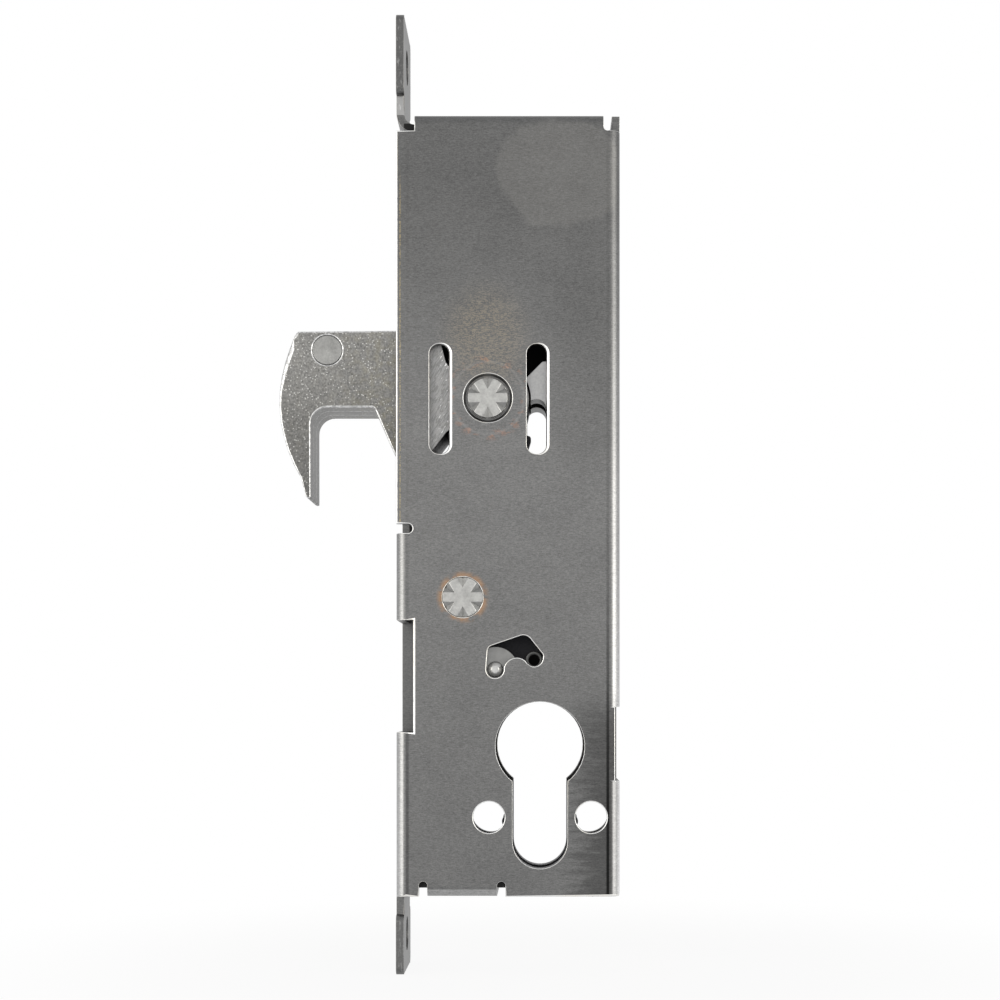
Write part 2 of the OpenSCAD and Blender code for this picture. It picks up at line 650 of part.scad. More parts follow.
// The middle plate bears on the pivot from the nose side only and leaves the lever's fork free
module hook_plate_middle() color(hook_steel) plate(-mid_y, mid_y) difference() {
    union() {
        intersection() {
            translate(P) circle(r = hub_r);
            rect(pivot_x - hub_r - over, pivot_x, pivot_z + fork_room[1], pivot_z + hub_r + over);
        }
        hook_arm();
    }
    translate(P) circle(r = pivot_r + run);
    polygon([P, P + fork_room, P + hub_joint, P + [hub_joint[0], -hub_r - over], P + [0, -hub_r - over]]);
    hook_rivet_holes();
}
module hook_rivet_outer() color(bright) bar(outer_rivet_at, hook_rivet_r, -hook_t / 2, hook_t / 2);
module hook_rivet_inner() color(bright) bar(inner_rivet_at, hook_rivet_r, -hook_t / 2, hook_t / 2);
module hook_tail_pin() color(bright) bar(tail, tail_r, -hook_t / 2, hook_t / 2);
module hook_bush_front() color(dark) tube(P, bush_r, pivot_r + run, -hook_t / 2, -mid_y);
module hook_bush_rear() color(dark) tube(P, bush_r, pivot_r + run, mid_y, hook_t / 2);

// Drive lever: its upper fork carries the hook's tail pin, its lower slot the locking pin

rest_arm = tail - Q;
end_arm = swung(tail, P, swing) - Q;
// The lever turns by the angle between the tail pin's two ends as seen from its pivot
lever_turn = atan2(end_arm[1], end_arm[0]) - atan2(rest_arm[1], rest_arm[0]);
samples = 24;
// Place of the tail pin and of the locking pin in the lever's own frame while the lock runs
tail_path = [for (i = [0:samples]) let (s = i / samples)
    turn2(swung(tail, P, swing * s) - Q, -lever_turn * s)];
pin_path = [for (i = [0:samples]) let (s = i / samples)
    turn2(swung(A, travel_mid, travel * s) - Q, -lever_turn * s)];
arm_dir = unit(rest_arm);
pin_dir = unit(pin_path[0] + pin_path[samples]);
function along(p, d) = p * d;
function across(p, d) = d[0] * p[1] - d[1] * p[0];
tail_u = [for (p = tail_path) along(p, arm_dir)];
tail_v = [for (p = tail_path) across(p, arm_dir)];
pin_u = [for (p = pin_path) along(p, pin_dir)];
pin_v = [for (p = pin_path) across(p, pin_dir)];
// The fork ends this far from the hook pivot rivet
fork_gap = 0.5;
fork_tip = norm(P - Q) - pivot_r - fork_gap;
fork_v0 = min(tail_v) - tail_r - loose;
fork_v1 = max(tail_v) + tail_r + loose;
slot_v0 = min(pin_v) - pin_r - loose;
slot_v1 = max(pin_v) + pin_r + loose;
slot_u0 = min(pin_u) - pin_r - loose;
slot_u1 = max(pin_u) + pin_r + loose;
arm_angle = atan2(arm_dir[1], arm_dir[0]);
slot_angle = atan2(pin_dir[1], pin_dir[0]);
stud = [stud_x, stud_z];
stud_web_r = stud_r + 2;
// Place of the arm's corners and of the small rivet along the arm, and the arm's blend radius
arm_corner = 20;
arm_blend = 6;
tip_r = 1.2;
// Wall and corner radius of the prong that stands beside the near plate's slot
prong_wall = 1;
prong_tip_r = 0.6;
plate_rivet_u = 14;
plate_rivet_at = Q + plate_rivet_u * arm_dir;
plate_rivet_r = 2;
module slot_frame(a) translate(Q) rotate([0, 0, a]) children();
module lever_outline() difference() {
    union() {
        translate(Q) circle(r = lever_hub_r);
        slot_frame(arm_angle) polygon(outline([
            [0, -lever_hub_r, 0], [0, lever_hub_r, 0], [arm_corner, fork_v1 + lever_wall, arm_blend],
            [fork_tip, fork_v1 + lever_wall, tip_r], [fork_tip, fork_v0 - prong_wall, prong_tip_r],
            [arm_corner, fork_v0 - prong_wall, arm_blend]]));
        slot_frame(slot_angle) polygon(outline([
            [0, -lever_hub_r, 0], [slot_u0, slot_v0 - lever_wall, lever_wall],
            [slot_u1 + lever_wall, slot_v0 - lever_wall, lever_wall],
            [slot_u1 + lever_wall, slot_v1 + lever_wall, lever_wall], [0, lever_hub_r, 0]]));
        // Web from the hub to the stud
        polygon(outline([concat(Q, 0), concat(Q + turn2([slot_u1, 0], slot_angle), 0),
            concat(stud + [0, -stud_web_r], 0), concat(stud + stud_web_r * unit([1, 1]), 0),
            concat(Q + lever_hub_r * unit([1, 1]), 0)]));
        translate(stud) circle(r = stud_web_r);
    }
    translate(Q) circle(r = lever_rivet_r + lever_bush_wall + fit);
    slot_frame(arm_angle) polygon(outline([
        [min(tail_u) - tail_r - loose, fork_v0, tail_r], [min(tail_u) - tail_r - loose, fork_v1, tail_r],
        [fork_tip + over, fork_v1, 0], [fork_tip + over, fork_v0, 0]]));
    slot_frame(slot_angle) polygon(outline([
        [slot_u0, slot_v0, pin_r], [slot_u0, slot_v1, pin_r],
        [slot_u1, slot_v1, pin_r], [slot_u1, slot_v0, pin_r]]));
    translate(stud) circle(r = stud_r + fit);
    translate(plate_rivet_at) circle(r = plate_rivet_r + fit);
}
lever_bush_wall = 1.2;
module drive_lever_front() color(dark) plate(-lever_t / 2, 0) lever_outline();
module drive_lever_rear() color(dark) plate(0, lever_t / 2) lever_outline();
module lever_bush() color(bright)
    tube(Q, lever_rivet_r + lever_bush_wall, lever_rivet_r + run, -lever_t / 2, lever_t / 2);
// Length of the stud past each side of the lever, and of the small rivet's heads
stud_past = 2.1;
head_past = 0.4;
stud_half = lever_t / 2 + stud_past;
module lever_stud() color(dark) difference() {
    bar(stud, stud_r, -stud_half, stud_half);
    bar(stud, stud_bore_r, -stud_half - over, -stud_half + stud_bore_depth);
    bar(stud, stud_bore_r, stud_half - stud_bore_depth, stud_half + over);
}
module lever_rivet() color(bright)
    bar(plate_rivet_at, plate_rivet_r, -lever_t / 2 - head_past, lever_t / 2 + head_past);

// Locking pin with its washers and rollers

// Length of the pin's coned ends and their radius at the tip
pin_cone = 0.7;
tip_share = 0.45;
pin_half = case_t / 2 - air;
module locking_pin() color(bright) {
    bar(A, pin_r, -pin_half + pin_cone, pin_half - pin_cone);
    translate([A[0], -pin_half + pin_cone, A[1]]) rotate([90, 0, 0])
        cylinder(r1 = pin_r, r2 = pin_r * tip_share, h = pin_cone);
    translate([A[0], pin_half - pin_cone, A[1]]) rotate([-90, 0, 0])
        cylinder(r1 = pin_r, r2 = pin_r * tip_share, h = pin_cone);
}
washer_y = far_in - air - washer_t;
roller_y = lever_t / 2 + side;
module locking_pin_washers() color(bright) for (s = [-1, 1])
    tube(A, washer_r, pin_r + fit, min(s * washer_y, s * (washer_y + washer_t)),
        max(s * washer_y, s * (washer_y + washer_t)));
module locking_pin_rollers() color(bright) for (s = [-1, 1])
    tube(A, roller_r, pin_r + fit, min(s * roller_y, s * (roller_y + roller_l)),
        max(s * roller_y, s * (roller_y + roller_l)));

// Locking spring: a torsion spring on its own post, one leg over the pin, one against the back wall

// Step of the post's riveted end
post_step = 0.5;
coil_mid = [coil_x, coil_z];
leg_gap = pin_r + wire / 2 + run;
lean = acos((coil_r + leg_gap) / norm(coil_mid - A));
leg_up = atan2(coil_mid[1] - A[1], coil_mid[0] - A[0]) + lean;
leg_n = [cos(leg_up), sin(leg_up)];
leg_dir = [-leg_n[1], leg_n[0]];
leg_foot = A + leg_gap * leg_n;
leg_end = leg_foot + leg_over * leg_dir;
coil_a0 = leg_up - 180;
coil_angle = 360 * coil_turns - 90 - coil_a0;
leg_y = (washer_y + roller_y + roller_l) / 2;
coil_y1 = leg_y - coil_pitch * coil_angle / 360;
wall_end = [back_x - sheet - run, coil_mid[1] - coil_r];
coil_steps = ceil(24 * coil_angle / 360);
spring_path = concat(
    [[leg_end[0], leg_y, leg_end[1]], [leg_foot[0], leg_y, leg_foot[1]]],
    [for (i = [0:coil_steps]) let (a = coil_a0 + coil_angle * i / coil_steps)
        [coil_mid[0] + coil_r * cos(a), leg_y + (coil_y1 - leg_y) * i / coil_steps,
            coil_mid[1] + coil_r * sin(a)]],
    [[wall_end[0] - wire, coil_y1, wall_end[1]], [wall_end[0], coil_y1, wall_end[1]]]);
sides = 6;
// A tube of one unbroken skin along a path; every ring stands across the path
module swept(path, r) {
    n = len(path);
    dirs = [for (i = [0:n - 1]) unit(i == 0 ? path[1] - path[0] : i == n - 1 ? path[i] - path[i - 1]
        : unit(path[i] - path[i - 1]) + unit(path[i + 1] - path[i]))];
    rings = [for (i = [0:n - 1]) let (d = dirs[i], b = unit([0, 1, 0] - d * d[1]), c = cross(d, b))
        for (k = [0:sides - 1]) path[i] + r * (b * cos(360 * k / sides) + c * sin(360 * k / sides))];
    faces = concat([[for (k = [0:sides - 1]) k]], [[for (k = [0:sides - 1]) n * sides - 1 - k]],
        [for (i = [0:n - 2], k = [0:sides - 1]) let (a = i * sides + k, b = i * sides + (k + 1) % sides)
            each [[a, a + sides, b + sides], [a, b + sides, b]]]);
    polyhedron(points = rings, faces = faces);
}
coil_loop = ceil(coil_steps * 180 / coil_angle);
self_gap = min([for (i = [2:coil_steps + 2], j = [2:coil_steps + 2]) if (j - i > coil_loop)
    norm(spring_path[j] - spring_path[i])]) - wire;
echo(spring_least_gap_to_itself = self_gap);
echo(lever_turn = lever_turn, travel = travel, travel_mid = travel_mid, tail = tail);
module locking_spring() color(bright) swept(spring_path, wire / 2);
module spring_post() color(bright) {
    bar(coil_mid, post_r, coil_y1 - wire - head_past, far_in);
    bar(coil_mid, post_r - post_step, far_in - over, far_y);
}

case_body();
case_frame();
hook_pivot_rivet();
lever_pivot_rivet();
hook_stop_front();
hook_stop_rear();
lever_spacer_front();
lever_spacer_rear();
hook_shim_front();
hook_shim_rear();
cylinder_cheek_front();
cylinder_cheek_rear();
spring_post();
locking_spring();
hook_plate_front();
hook_plate_middle();
hook_plate_rear();
hook_rivet_outer();
hook_rivet_inner();
hook_tail_pin();
hook_bush_front();
hook_bush_rear();
drive_lever_front();
drive_lever_rear();
lever_bush();
lever_stud();
lever_rivet();
locking_pin();
locking_pin_washers();
locking_pin_rollers();
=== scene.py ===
"""Looks of a mortise hook lock: rolled edges, grained sheet, speckled hook, light and camera.

Every length in this file is in millimetres until it reaches a mesh, where it becomes metres.
"""

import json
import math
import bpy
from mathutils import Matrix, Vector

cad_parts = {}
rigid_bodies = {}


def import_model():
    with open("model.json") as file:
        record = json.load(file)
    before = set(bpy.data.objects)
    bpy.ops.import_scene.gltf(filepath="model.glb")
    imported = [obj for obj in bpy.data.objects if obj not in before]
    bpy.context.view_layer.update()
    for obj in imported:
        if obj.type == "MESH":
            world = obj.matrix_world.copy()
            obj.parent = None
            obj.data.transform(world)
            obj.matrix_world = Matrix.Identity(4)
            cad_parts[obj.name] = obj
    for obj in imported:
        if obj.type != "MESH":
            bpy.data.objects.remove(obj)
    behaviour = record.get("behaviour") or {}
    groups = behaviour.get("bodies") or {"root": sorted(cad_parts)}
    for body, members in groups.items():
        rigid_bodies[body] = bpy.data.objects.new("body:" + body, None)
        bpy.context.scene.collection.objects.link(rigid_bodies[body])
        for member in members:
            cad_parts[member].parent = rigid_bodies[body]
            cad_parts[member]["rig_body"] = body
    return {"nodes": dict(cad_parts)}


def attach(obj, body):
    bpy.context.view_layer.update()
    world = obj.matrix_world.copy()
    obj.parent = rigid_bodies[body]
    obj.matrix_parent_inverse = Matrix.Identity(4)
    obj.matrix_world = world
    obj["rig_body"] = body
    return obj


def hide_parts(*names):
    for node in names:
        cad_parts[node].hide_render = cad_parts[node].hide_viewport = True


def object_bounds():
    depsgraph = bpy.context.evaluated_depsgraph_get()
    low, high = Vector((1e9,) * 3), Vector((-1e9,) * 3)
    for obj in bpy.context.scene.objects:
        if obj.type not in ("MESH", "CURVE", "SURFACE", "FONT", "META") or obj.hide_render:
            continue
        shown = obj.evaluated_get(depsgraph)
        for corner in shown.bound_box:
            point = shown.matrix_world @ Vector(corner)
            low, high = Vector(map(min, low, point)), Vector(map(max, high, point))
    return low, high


bl_info = {
    "name": "Mortise hook lock",
    "version": (1, 0, 0),
    "blender": (4, 5, 0),
    "location": "3D View > Sidebar > Hook lock",
    "description": "Finishes the pieces of a mortise hook lock and sets its light and camera",
    "category": "Object",
}

import bmesh
import bpy
import numpy as np
from bpy.props import FloatProperty, FloatVectorProperty, PointerProperty
from mathutils.geometry import delaunay_2d_cdt

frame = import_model()
cad_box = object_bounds()

MM = 0.001

# Centres in the plane of the plates, x and z
CYLINDER = (0.0, 0.0)
HOOK_PIVOT = (-10.5, 70.1)
LEVER_PIVOT = (-15.55, 30.0)
PIN_REST = (-9.05, 15.5)
STUD = (-1.2, 17.5)
COIL = (9.0, 26.5)
# Thickness of the case's sheet and of the spring's wire
SHEET = 1.6
WIRE = 0.8
# Near face and outer walls of the case, and the lower end of its mouth
NEAR_FACE = -10.0
CASE_FRONT = -29.0
CASE_BACK = 16.1
CASE_TOP = 127.3
CASE_BOTTOM = -30.3
MOUTH_Z = 43.85
# Outer faces of the hook, both ways from the middle
HOOK_FACE = 7.9
# Places of punched edges in the plane of the plates: x from, x to, z from, z to
ROSE_SLOTS = ((-23.0, -18.0, 58.0, 82.0), (-3.2, 2.0, 58.0, 82.0))
HANDLE_HOLES = ((-14.0, -6.5, -18.0, -10.5), (6.5, 14.0, -18.0, -10.5))
CYLINDER_LEG = (-6.0, 6.0, -26.0, -6.0)
KIDNEY_TIP = (-3.0, -1.8, 15.5, 16.8)
RECESS_EDGE = (-26.0, -25.0, 2.9, 25.3)
NOTCHES = ((12.0, 16.2, 122.5, 127.4), (-24.8, -6.5, -30.4, -26.5))


# Materials


class Wire:
    """An output in a node tree that adds, subtracts, multiplies and divides like a number."""

    def __init__(self, board, socket):
        self.board = board
        self.socket = socket

    def maths(self, operation, first, second):
        return self.board.node("ShaderNodeMath", {"operation": operation}, [first, second])

    def __add__(self, other):
        return self.maths("ADD", self, other)

    def __sub__(self, other):
        return self.maths("SUBTRACT", self, other)

    def __mul__(self, other):
        return self.maths("MULTIPLY", self, other)

    def __truediv__(self, other):
        return self.maths("DIVIDE", self, other)

    def __pow__(self, other):
        return self.maths("POWER", self, other)

    def __rsub__(self, other):
        return self.maths("SUBTRACT", other, self)

    __radd__ = __add__
    __rmul__ = __mul__


class Board:
    """A node tree being wired."""

    def __init__(self, tree):
        self.tree = tree
        self.tree.nodes.clear()

    def node(self, kind, settings=None, inputs=None, output=0):
        """Adds a node, sets its settings, then links or sets each input. Returns one output."""
        made = self.tree.nodes.new(kind)
        for name, value in (settings or {}).items():
            if name == "stops":
                self.set_stops(made.color_ramp, value)
            else:
                setattr(made, name, value)
        given = inputs or []
        for key, value in given.items() if isinstance(given, dict) else enumerate(given):
            self.feed(made.inputs[key], value)
        return Wire(self, made.outputs[output]) if made.outputs else None

    def feed(self, socket, value):
        if isinstance(value, Wire):
            self.tree.links.new(value.socket, socket)
        elif socket.type == "RGBA":
            socket.default_value = (*value[:3], 1.0)
        else:
            socket.default_value = value

    def set_stops(self, ramp, stops):
        while len(ramp.elements) < len(stops):
            ramp.elements.new(0.5)
        for element, (at, tone) in zip(ramp.elements, stops):
            element.position = at
            element.color = (tone, tone, tone, 1.0)

    def seen(self):
        """1 for what the camera, a mirror or glass sees, and 0 for what lights matt surfaces."""
        rays = self.tree.nodes.new("ShaderNodeLightPath").outputs
        names = ("Is Camera Ray", "Is Glossy Ray", "Is Transmission Ray")
        camera, mirror, glass = (Wire(self, rays[name]) for name in names)
        settings = {"operation": "ADD", "use_clamp": True}
        return self.node("ShaderNodeMath", settings, [camera, mirror + glass])


class Paint(Board):
    """One material being mixed: its node tree, and the place on the piece in millimetres."""

    def __init__(self, name):
        self.material = bpy.data.materials.new(name)
        self.material.use_nodes = True
        super().__init__(self.material.node_tree)
        place = self.node("ShaderNodeTexCoord", output="Object")
        self.place = self.vector("MULTIPLY", place, (1 / MM, 1 / MM, 1 / MM))
        self.x, self.y, self.z = (
            self.node("ShaderNodeSeparateXYZ", {}, [self.place], output=axis) for axis in range(3)
        )

    def vector(self, operation, first, second):
        return self.node("ShaderNodeVectorMath", {"operation": operation}, [first, second])

    def mix(self, share, first, second, blend="MIX"):
        """The first colour, giving way to the second as share goes from 0 to 1."""
        settings = {"data_type": "RGBA", "blend_type": blend, "clamp_factor": True}
        return self.node("ShaderNodeMix", settings, {0: share, 6: first, 7: second}, output=2)

    def plain(self, tone):
        """The grey of a tone that varies."""
        return self.node("ShaderNodeCombineXYZ", {}, [tone, tone, tone])

    def tinted(self, colour, tone):
        """A colour times a tone that varies."""
        return self.mix(1.0, colour, self.plain(tone), "MULTIPLY")

    def smooth(self, value, low, high):
        """0 at low, 1 at high and an S curve between them. Low may be above high."""
        settings = {"interpolation_type": "SMOOTHSTEP", "clamp": True}
        inputs = {"Value": value, "From Min": low, "From Max": high, "To Min": 0.0, "To Max": 1.0}
        return self.node("ShaderNodeMapRange", settings, inputs)

    def band(self, value, foot, top, last, end):
        """0 up to foot, 1 from top to last and 0 past end, with S curves between."""
        return self.smooth(value, foot, top) * self.smooth(value, end, last)

    def levels(self, value, stops):
        """A tone that follows value through stops of (value, tone)."""
        low, high = stops[0][0], stops[-1][0]
        places = [((at - low) / (high - low), tone) for at, tone in stops]
        return self.node("ShaderNodeValToRGB", {"stops": places}, [(value - low) / (high - low)])

    def noise(self, size, detail=2.0, seed=0.0, turned=0.0):
        """Cloudy noise about 0.5 with blobs of size (x, y, z), turned about Y by some degrees."""
        place = self.place
        if turned:
            inputs = {"Vector": place, "Angle": math.radians(turned)}
            place = self.node("ShaderNodeVectorRotate", {"rotation_type": "Y_AXIS"}, inputs)
        at = self.vector("DIVIDE", place, size)
        at = self.vector("ADD", at, (seed, 2.0 * seed, 3.0 * seed))
        inputs = {"Vector": at, "Scale": 1.0, "Detail": detail}
        return self.node("ShaderNodeTexNoise", {"noise_dimensions": "3D"}, inputs)

    def dots(self, size):
        """Distance to the nearest of points scattered about size apart, as a share of size."""
        at = self.vector("DIVIDE", self.place, (size, size, size))
        return self.node("ShaderNodeTexVoronoi", {"feature": "F1"}, {"Vector": at, "Scale": 1.0})

    def reach(self, centre, stretch=1.0):
        """Distance in the plates' plane from centre = (x, z), with z counted stretch times."""
        dx, dz = self.x - centre[0], (self.z - centre[1]) * stretch
        return (dx * dx + dz * dz) ** 0.5

    def steel(self, colour, roughness, height, depth):
        """Ends the material as metal. Height is a pattern 0 to 1 that stands depth high."""
        inputs = {"Strength": 1.0, "Distance": depth * MM, "Height": height}
        bump = self.node("ShaderNodeBump", {}, inputs)
        inputs = {"Base Color": colour, "Metallic": 1.0, "Roughness": roughness, "Normal": bump}
        self.finish(self.node("ShaderNodeBsdfPrincipled", {}, inputs))
        return self.material

    def finish(self, surface):
        self.node("ShaderNodeOutputMaterial", {}, [surface])


def grey(tone):
    return (tone, tone, tone)


def case_inside_shade(p):
    """Mask of the painted shade inside the case: 1 within the case's walls, except where light
    falls in through the front recess.
    """
    rim = SHEET - 0.25
    inside_shade = p.band(p.y, -8.75, -8.5, 8.5, 8.75)
    for value, low, high in ((p.x, CASE_FRONT, CASE_BACK), (p.z, CASE_BOTTOM, CASE_TOP)):
        inside_shade = inside_shade * p.band(value, low + rim, low + SHEET, high - SHEET, high - rim)
    lit = p.band(p.z, 1.0, 3.0, 25.4, 27.0) * p.smooth(p.x, -23.0, -25.4)
    return inside_shade * (1.0 - lit)


def sheet_tone(p, front, grain):
    """Tone of the bare sheet, darker at the lower back, with a band of painted shade towards the
    back, painted highlights on the folds and painted shade in the creases beside them.
    """
    fade = [(-45.0, 0.185), (0.0, 0.19), (35.0, 0.205), (70.0, 0.21), (92.0, 0.175), (110.0, 0.152),
            (150.0, 0.16)]
    tone = p.levels(p.z, fade)
    # Darker at the lower back, with a ragged edge
    streaks = p.noise((6.0, 6.0, 0.8), detail=3.0, seed=13.0)
    darker_low_back = p.smooth(p.x + (streaks - 0.5) * 14.0, 4.0, 12.5) * p.smooth(p.z, 15.0, 2.0) * front
    shade = p.smooth(p.x, -2.0, 10.0) * p.band(p.z, 50.0, 66.0, 88.0, 100.0)
    tone = tone * (1.0 - 0.45 * darker_low_back) * (1.0 - 0.14 * shade) * grain
    # Painted highlight on each fold's outside, the upright ones most and mostly low down
    folds = p.band(p.y, -9.99, -9.85, -8.2, -7.7)
    folds = folds * p.smooth(p.z, CASE_BOTTOM - 0.2, CASE_BOTTOM - 0.05)
    upright = p.smooth(p.x, -26.0, -27.0) + p.smooth(p.x, 13.0, 14.0)
    fade = [(-30.0, 3.8), (0.0, 3.0), (18.0, 1.9), (40.0, 1.2), (80.0, 0.7), (110.0, 0.1)]
    fold_highlight = p.levels(p.z, fade)
    fold_highlight = fold_highlight * (0.3 + upright * (0.7 - 0.5 * p.smooth(p.x, -20.0, -25.0)))
    tone = tone * (1.0 + fold_highlight * folds)
    # Painted shade in the crease beside each upright fold, most of it low at the back
    crease = p.band(p.x, 13.15, 13.55, 13.8, 14.05)
    crease = crease + p.band(p.x, -27.1, -26.85, -26.6, -26.2) * 0.5
    crease_shade = p.levels(p.z, [(-12.0, 0.85), (10.0, 0.6), (35.0, 0.25), (70.0, 0.1)])
    return tone * (1.0 - crease * front * crease_shade)


def sheet_marks(p, look, colour, front, dashes, fine):
    """A pale stain, tan and rusty heat marks and rubbed places on the near plate, and painted shade
    in the hook pivot's dish.
    """
    warp = p.noise((7.0, 7.0, 7.0), detail=2.0, seed=5.0)
    stain = p.smooth(p.reach((4.5, 115.5), 1.18) + (warp - 0.5) * 7.0, 13.6, 11.8) * front
    colour = p.mix(stain * (0.055 * look.stain), colour, (0.60, 0.58, 0.54))
    tan = p.smooth(p.reach((-11.0, 82.0), 0.8), 11.0, 3.0)
    tan = tan * p.smooth(fine + dashes, 0.92, 1.14) * front
    colour = p.mix(tan * (0.19 * look.stain), colour, (0.46, 0.35, 0.17))
    ring = p.reach(HOOK_PIVOT)
    patches = p.smooth(p.noise((2.6, 2.6, 1.3), seed=2.0), 0.50, 0.62)
    rust = p.band(ring, 6.3, 7.3, 7.6, 9.0) * patches * front * p.smooth(fine, 0.35, 0.55)
    colour = p.mix(rust * (0.35 * look.stain), colour, (0.42, 0.19, 0.10))
    patches = p.smooth(p.noise((2.2, 2.2, 2.2), seed=4.0), 0.42, 0.62)
    heat = p.smooth(p.reach(LEVER_PIVOT), 5.6, 4.4) * patches * front
    colour = p.mix(heat * (0.5 * look.stain), colour, (0.40, 0.22, 0.10))
    # Painted shade in the pressed dish round the hook pivot, and the rub mark outside it
    dish_shade = p.smooth(ring, 5.05, 4.85) * p.smooth(p.y, -8.9, -9.3)
    colour = p.mix(dish_shade * 0.60, colour, grey(0.055))
    colour = p.mix(p.band(ring, 6.9, 7.25, 7.35, 7.7) * front * 0.05, colour, grey(0.7))
    # The yellow line beside the mouth's edge
    yellow = p.band(p.x, -28.35, -28.25, -28.1, -27.95)
    yellow = yellow * p.band(p.z, MOUTH_Z, MOUTH_Z + 1.0, 108.0, 118.0)
    return p.mix(yellow * front * p.smooth(fine, 0.40, 0.60) * 0.35, colour, (0.60, 0.46, 0.18))


def sheared_ears(p, colour):
    """Torn and darkened edges of the ears, and a painted highlight on the near edge of the upper
    ear's neck.
    """
    ears = (p.smooth(p.z, 127.5, 128.5) + p.smooth(p.z, -31.0, -32.0)) * p.smooth(p.y, -9.6, -9.8)
    torn = p.smooth(p.noise((0.35, 0.5, 1.4), detail=3.0, seed=9.0), 0.54, 0.72)
    neck = p.band(p.z, 127.4, 127.6, 131.2, 131.6)
    sheared = ears + neck * p.smooth(p.y, -7.9, -8.1) * p.smooth(p.x, -24.0, -25.0)
    dull = p.mix(sheared * 0.4, colour, grey(0.05))
    # The neck's near edge is lightened as a painted highlight
    return p.mix(sheared * (0.05 + 0.35 * torn + 0.5 * neck), dull, grey(0.5))


def sheet_steel(look):
    """Galvanised sheet with a level grain and clouds, marked on the near plate, with painted shade
    inside the case.
    """
    p = Paint("galvanised_sheet")
    front = p.smooth(p.y, -9.0, -9.6)
    inside_shade = case_inside_shade(p)
    dashes = p.noise((0.85, 0.85, 0.15), detail=3.0)
    fine = p.noise((0.26, 0.26, 0.17), detail=2.0, seed=3.0)
    clouds = p.noise((11.0, 11.0, 7.0), detail=3.0, seed=7.0)
    tone = sheet_tone(p, front, 0.06 + 0.66 * dashes + 0.62 * fine + 0.14 * clouds)
    colour = sheet_marks(p, look, p.tinted(look.sheet_colour, tone), front, dashes, fine)
    # Painted shade: the faces inside the case are darkened nearly to black
    colour = p.mix(inside_shade * 0.93, sheared_ears(p, colour), grey(0.012))
    roughness = 0.30 + 0.10 * dashes + 0.10 * clouds + 0.15 * inside_shade
    return p.steel(colour, roughness, dashes * 0.7 + fine * 0.3, depth=0.006)


def rim_steel(name, tone):
    """Rolled and burnished rim of a punched edge, with a warm cast here and there."""
    p = Paint(name)
    nicks = p.noise((0.5, 0.5, 1.2), detail=2.0)
    warm = p.smooth(p.noise((4.0, 4.0, 9.0), seed=6.0), 0.4, 0.7)
    colour = p.mix(warm * 0.5, grey(tone), (tone, tone * 0.93, tone * 0.8))
    colour = p.mix(p.smooth(nicks, 0.62, 0.75) * 0.5, colour, grey(tone * 0.3))
    return p.steel(colour, 0.30 + 0.15 * nicks, nicks, depth=0.01)


def stop_steel():
    """Clean sheet of the hook stops, lighter than the case."""
    p = Paint("stop_sheet")
    fine = p.noise((0.5, 0.5, 0.5), detail=3.0, seed=3.0)
    # No light reaches past the front stop
    tone = (0.27 + 0.14 * fine) * (1.0 - 0.93 * p.smooth(p.y, -7.6, -7.3))
    return p.steel(p.plain(tone), 0.32 + 0.1 * fine, fine, depth=0.008)


def past_case_front(p):
    """1 on the part of the hook that lies inside the case at rest."""
    return p.smooth(p.x, CASE_FRONT + 0.5, CASE_FRONT + 1.5)


def hook_steel(look):
    """Zinc-plated blanked steel: pale specks, gold patches and swirling marks near the pivot."""
    p = Paint("plated_hook")
    mottle = p.noise((0.42, 0.42, 0.42), detail=3.0)
    broad = p.noise((5.0, 5.0, 5.0), detail=3.0, seed=1.0)
    specks = p.smooth(p.dots(0.55), 0.30, 0.13)
    specks = specks * p.smooth(p.noise((1.1, 1.1, 1.1), seed=8.0), 0.30, 0.55)
    tone = p.levels(p.z, [(48.0, 0.13), (64.0, 0.155), (74.0, 0.20), (86.0, 0.215)])
    tone = tone * (0.05 + 1.45 * mottle + 0.25 * broad)
    colour = p.tinted(look.hook_colour, tone)
    gold = p.smooth(p.noise((1.6, 1.6, 1.6), detail=4.0, seed=4.0), 0.40, 0.72)
    near_case = p.smooth(p.x, -46.0, CASE_FRONT)
    colour = p.mix(gold * (0.02 + 0.12 * near_case) * look.gold, colour, (0.36, 0.31, 0.14))
    colour = p.mix(specks * look.specks, colour, (0.78, 0.78, 0.76))
    pits = p.smooth(p.noise((0.5, 0.5, 0.9), detail=2.0, seed=12.0), 0.60, 0.74)
    colour = p.mix(pits * 0.45, colour, grey(0.06))
    inside = past_case_front(p)
    swirl = p.noise((2.8, 2.8, 0.42), detail=2.0, seed=15.0, turned=58.0)
    lines = p.band(swirl, 0.45, 0.52, 0.53, 0.60)
    colour = p.mix(inside * 0.85, colour, p.mix(lines * 0.6, grey(0.30), grey(0.14)))
    flecks = p.smooth(p.noise((0.35, 0.35, 1.1), seed=11.0, turned=-35.0), 0.66, 0.74)
    colour = p.mix(inside * flecks * p.smooth(p.x, -21.5, -19.5) * 0.9, colour, grey(0.9))
    # The side walls inside the case get no light
    sides = p.smooth(p.y, 0.15 - HOOK_FACE, 0.4 - HOOK_FACE)
    colour = p.mix(inside * sides * 0.95, colour, grey(0.008))
    return p.steel(colour, 0.33 + 0.2 * mottle, mottle * 0.6 + specks * 0.5, depth=0.02)


def hook_rim_steel(look):
    """Rolled edge of the blanked hook plates, bright where the die sheared it."""
    p = Paint("hook_rim")
    nicks = p.noise((0.45, 1.2, 0.45), detail=3.0, seed=2.0)
    colour = p.mix(p.smooth(nicks, 0.42, 0.62), grey(look.rim_tone), grey(look.rim_tone * 0.6))
    # Painted shade: the rim is darkened where it lies inside the case at rest
    colour = p.mix(past_case_front(p) * 0.9, colour, grey(0.05))
    return p.steel(colour, 0.28 + 0.2 * nicks, nicks, depth=0.02)


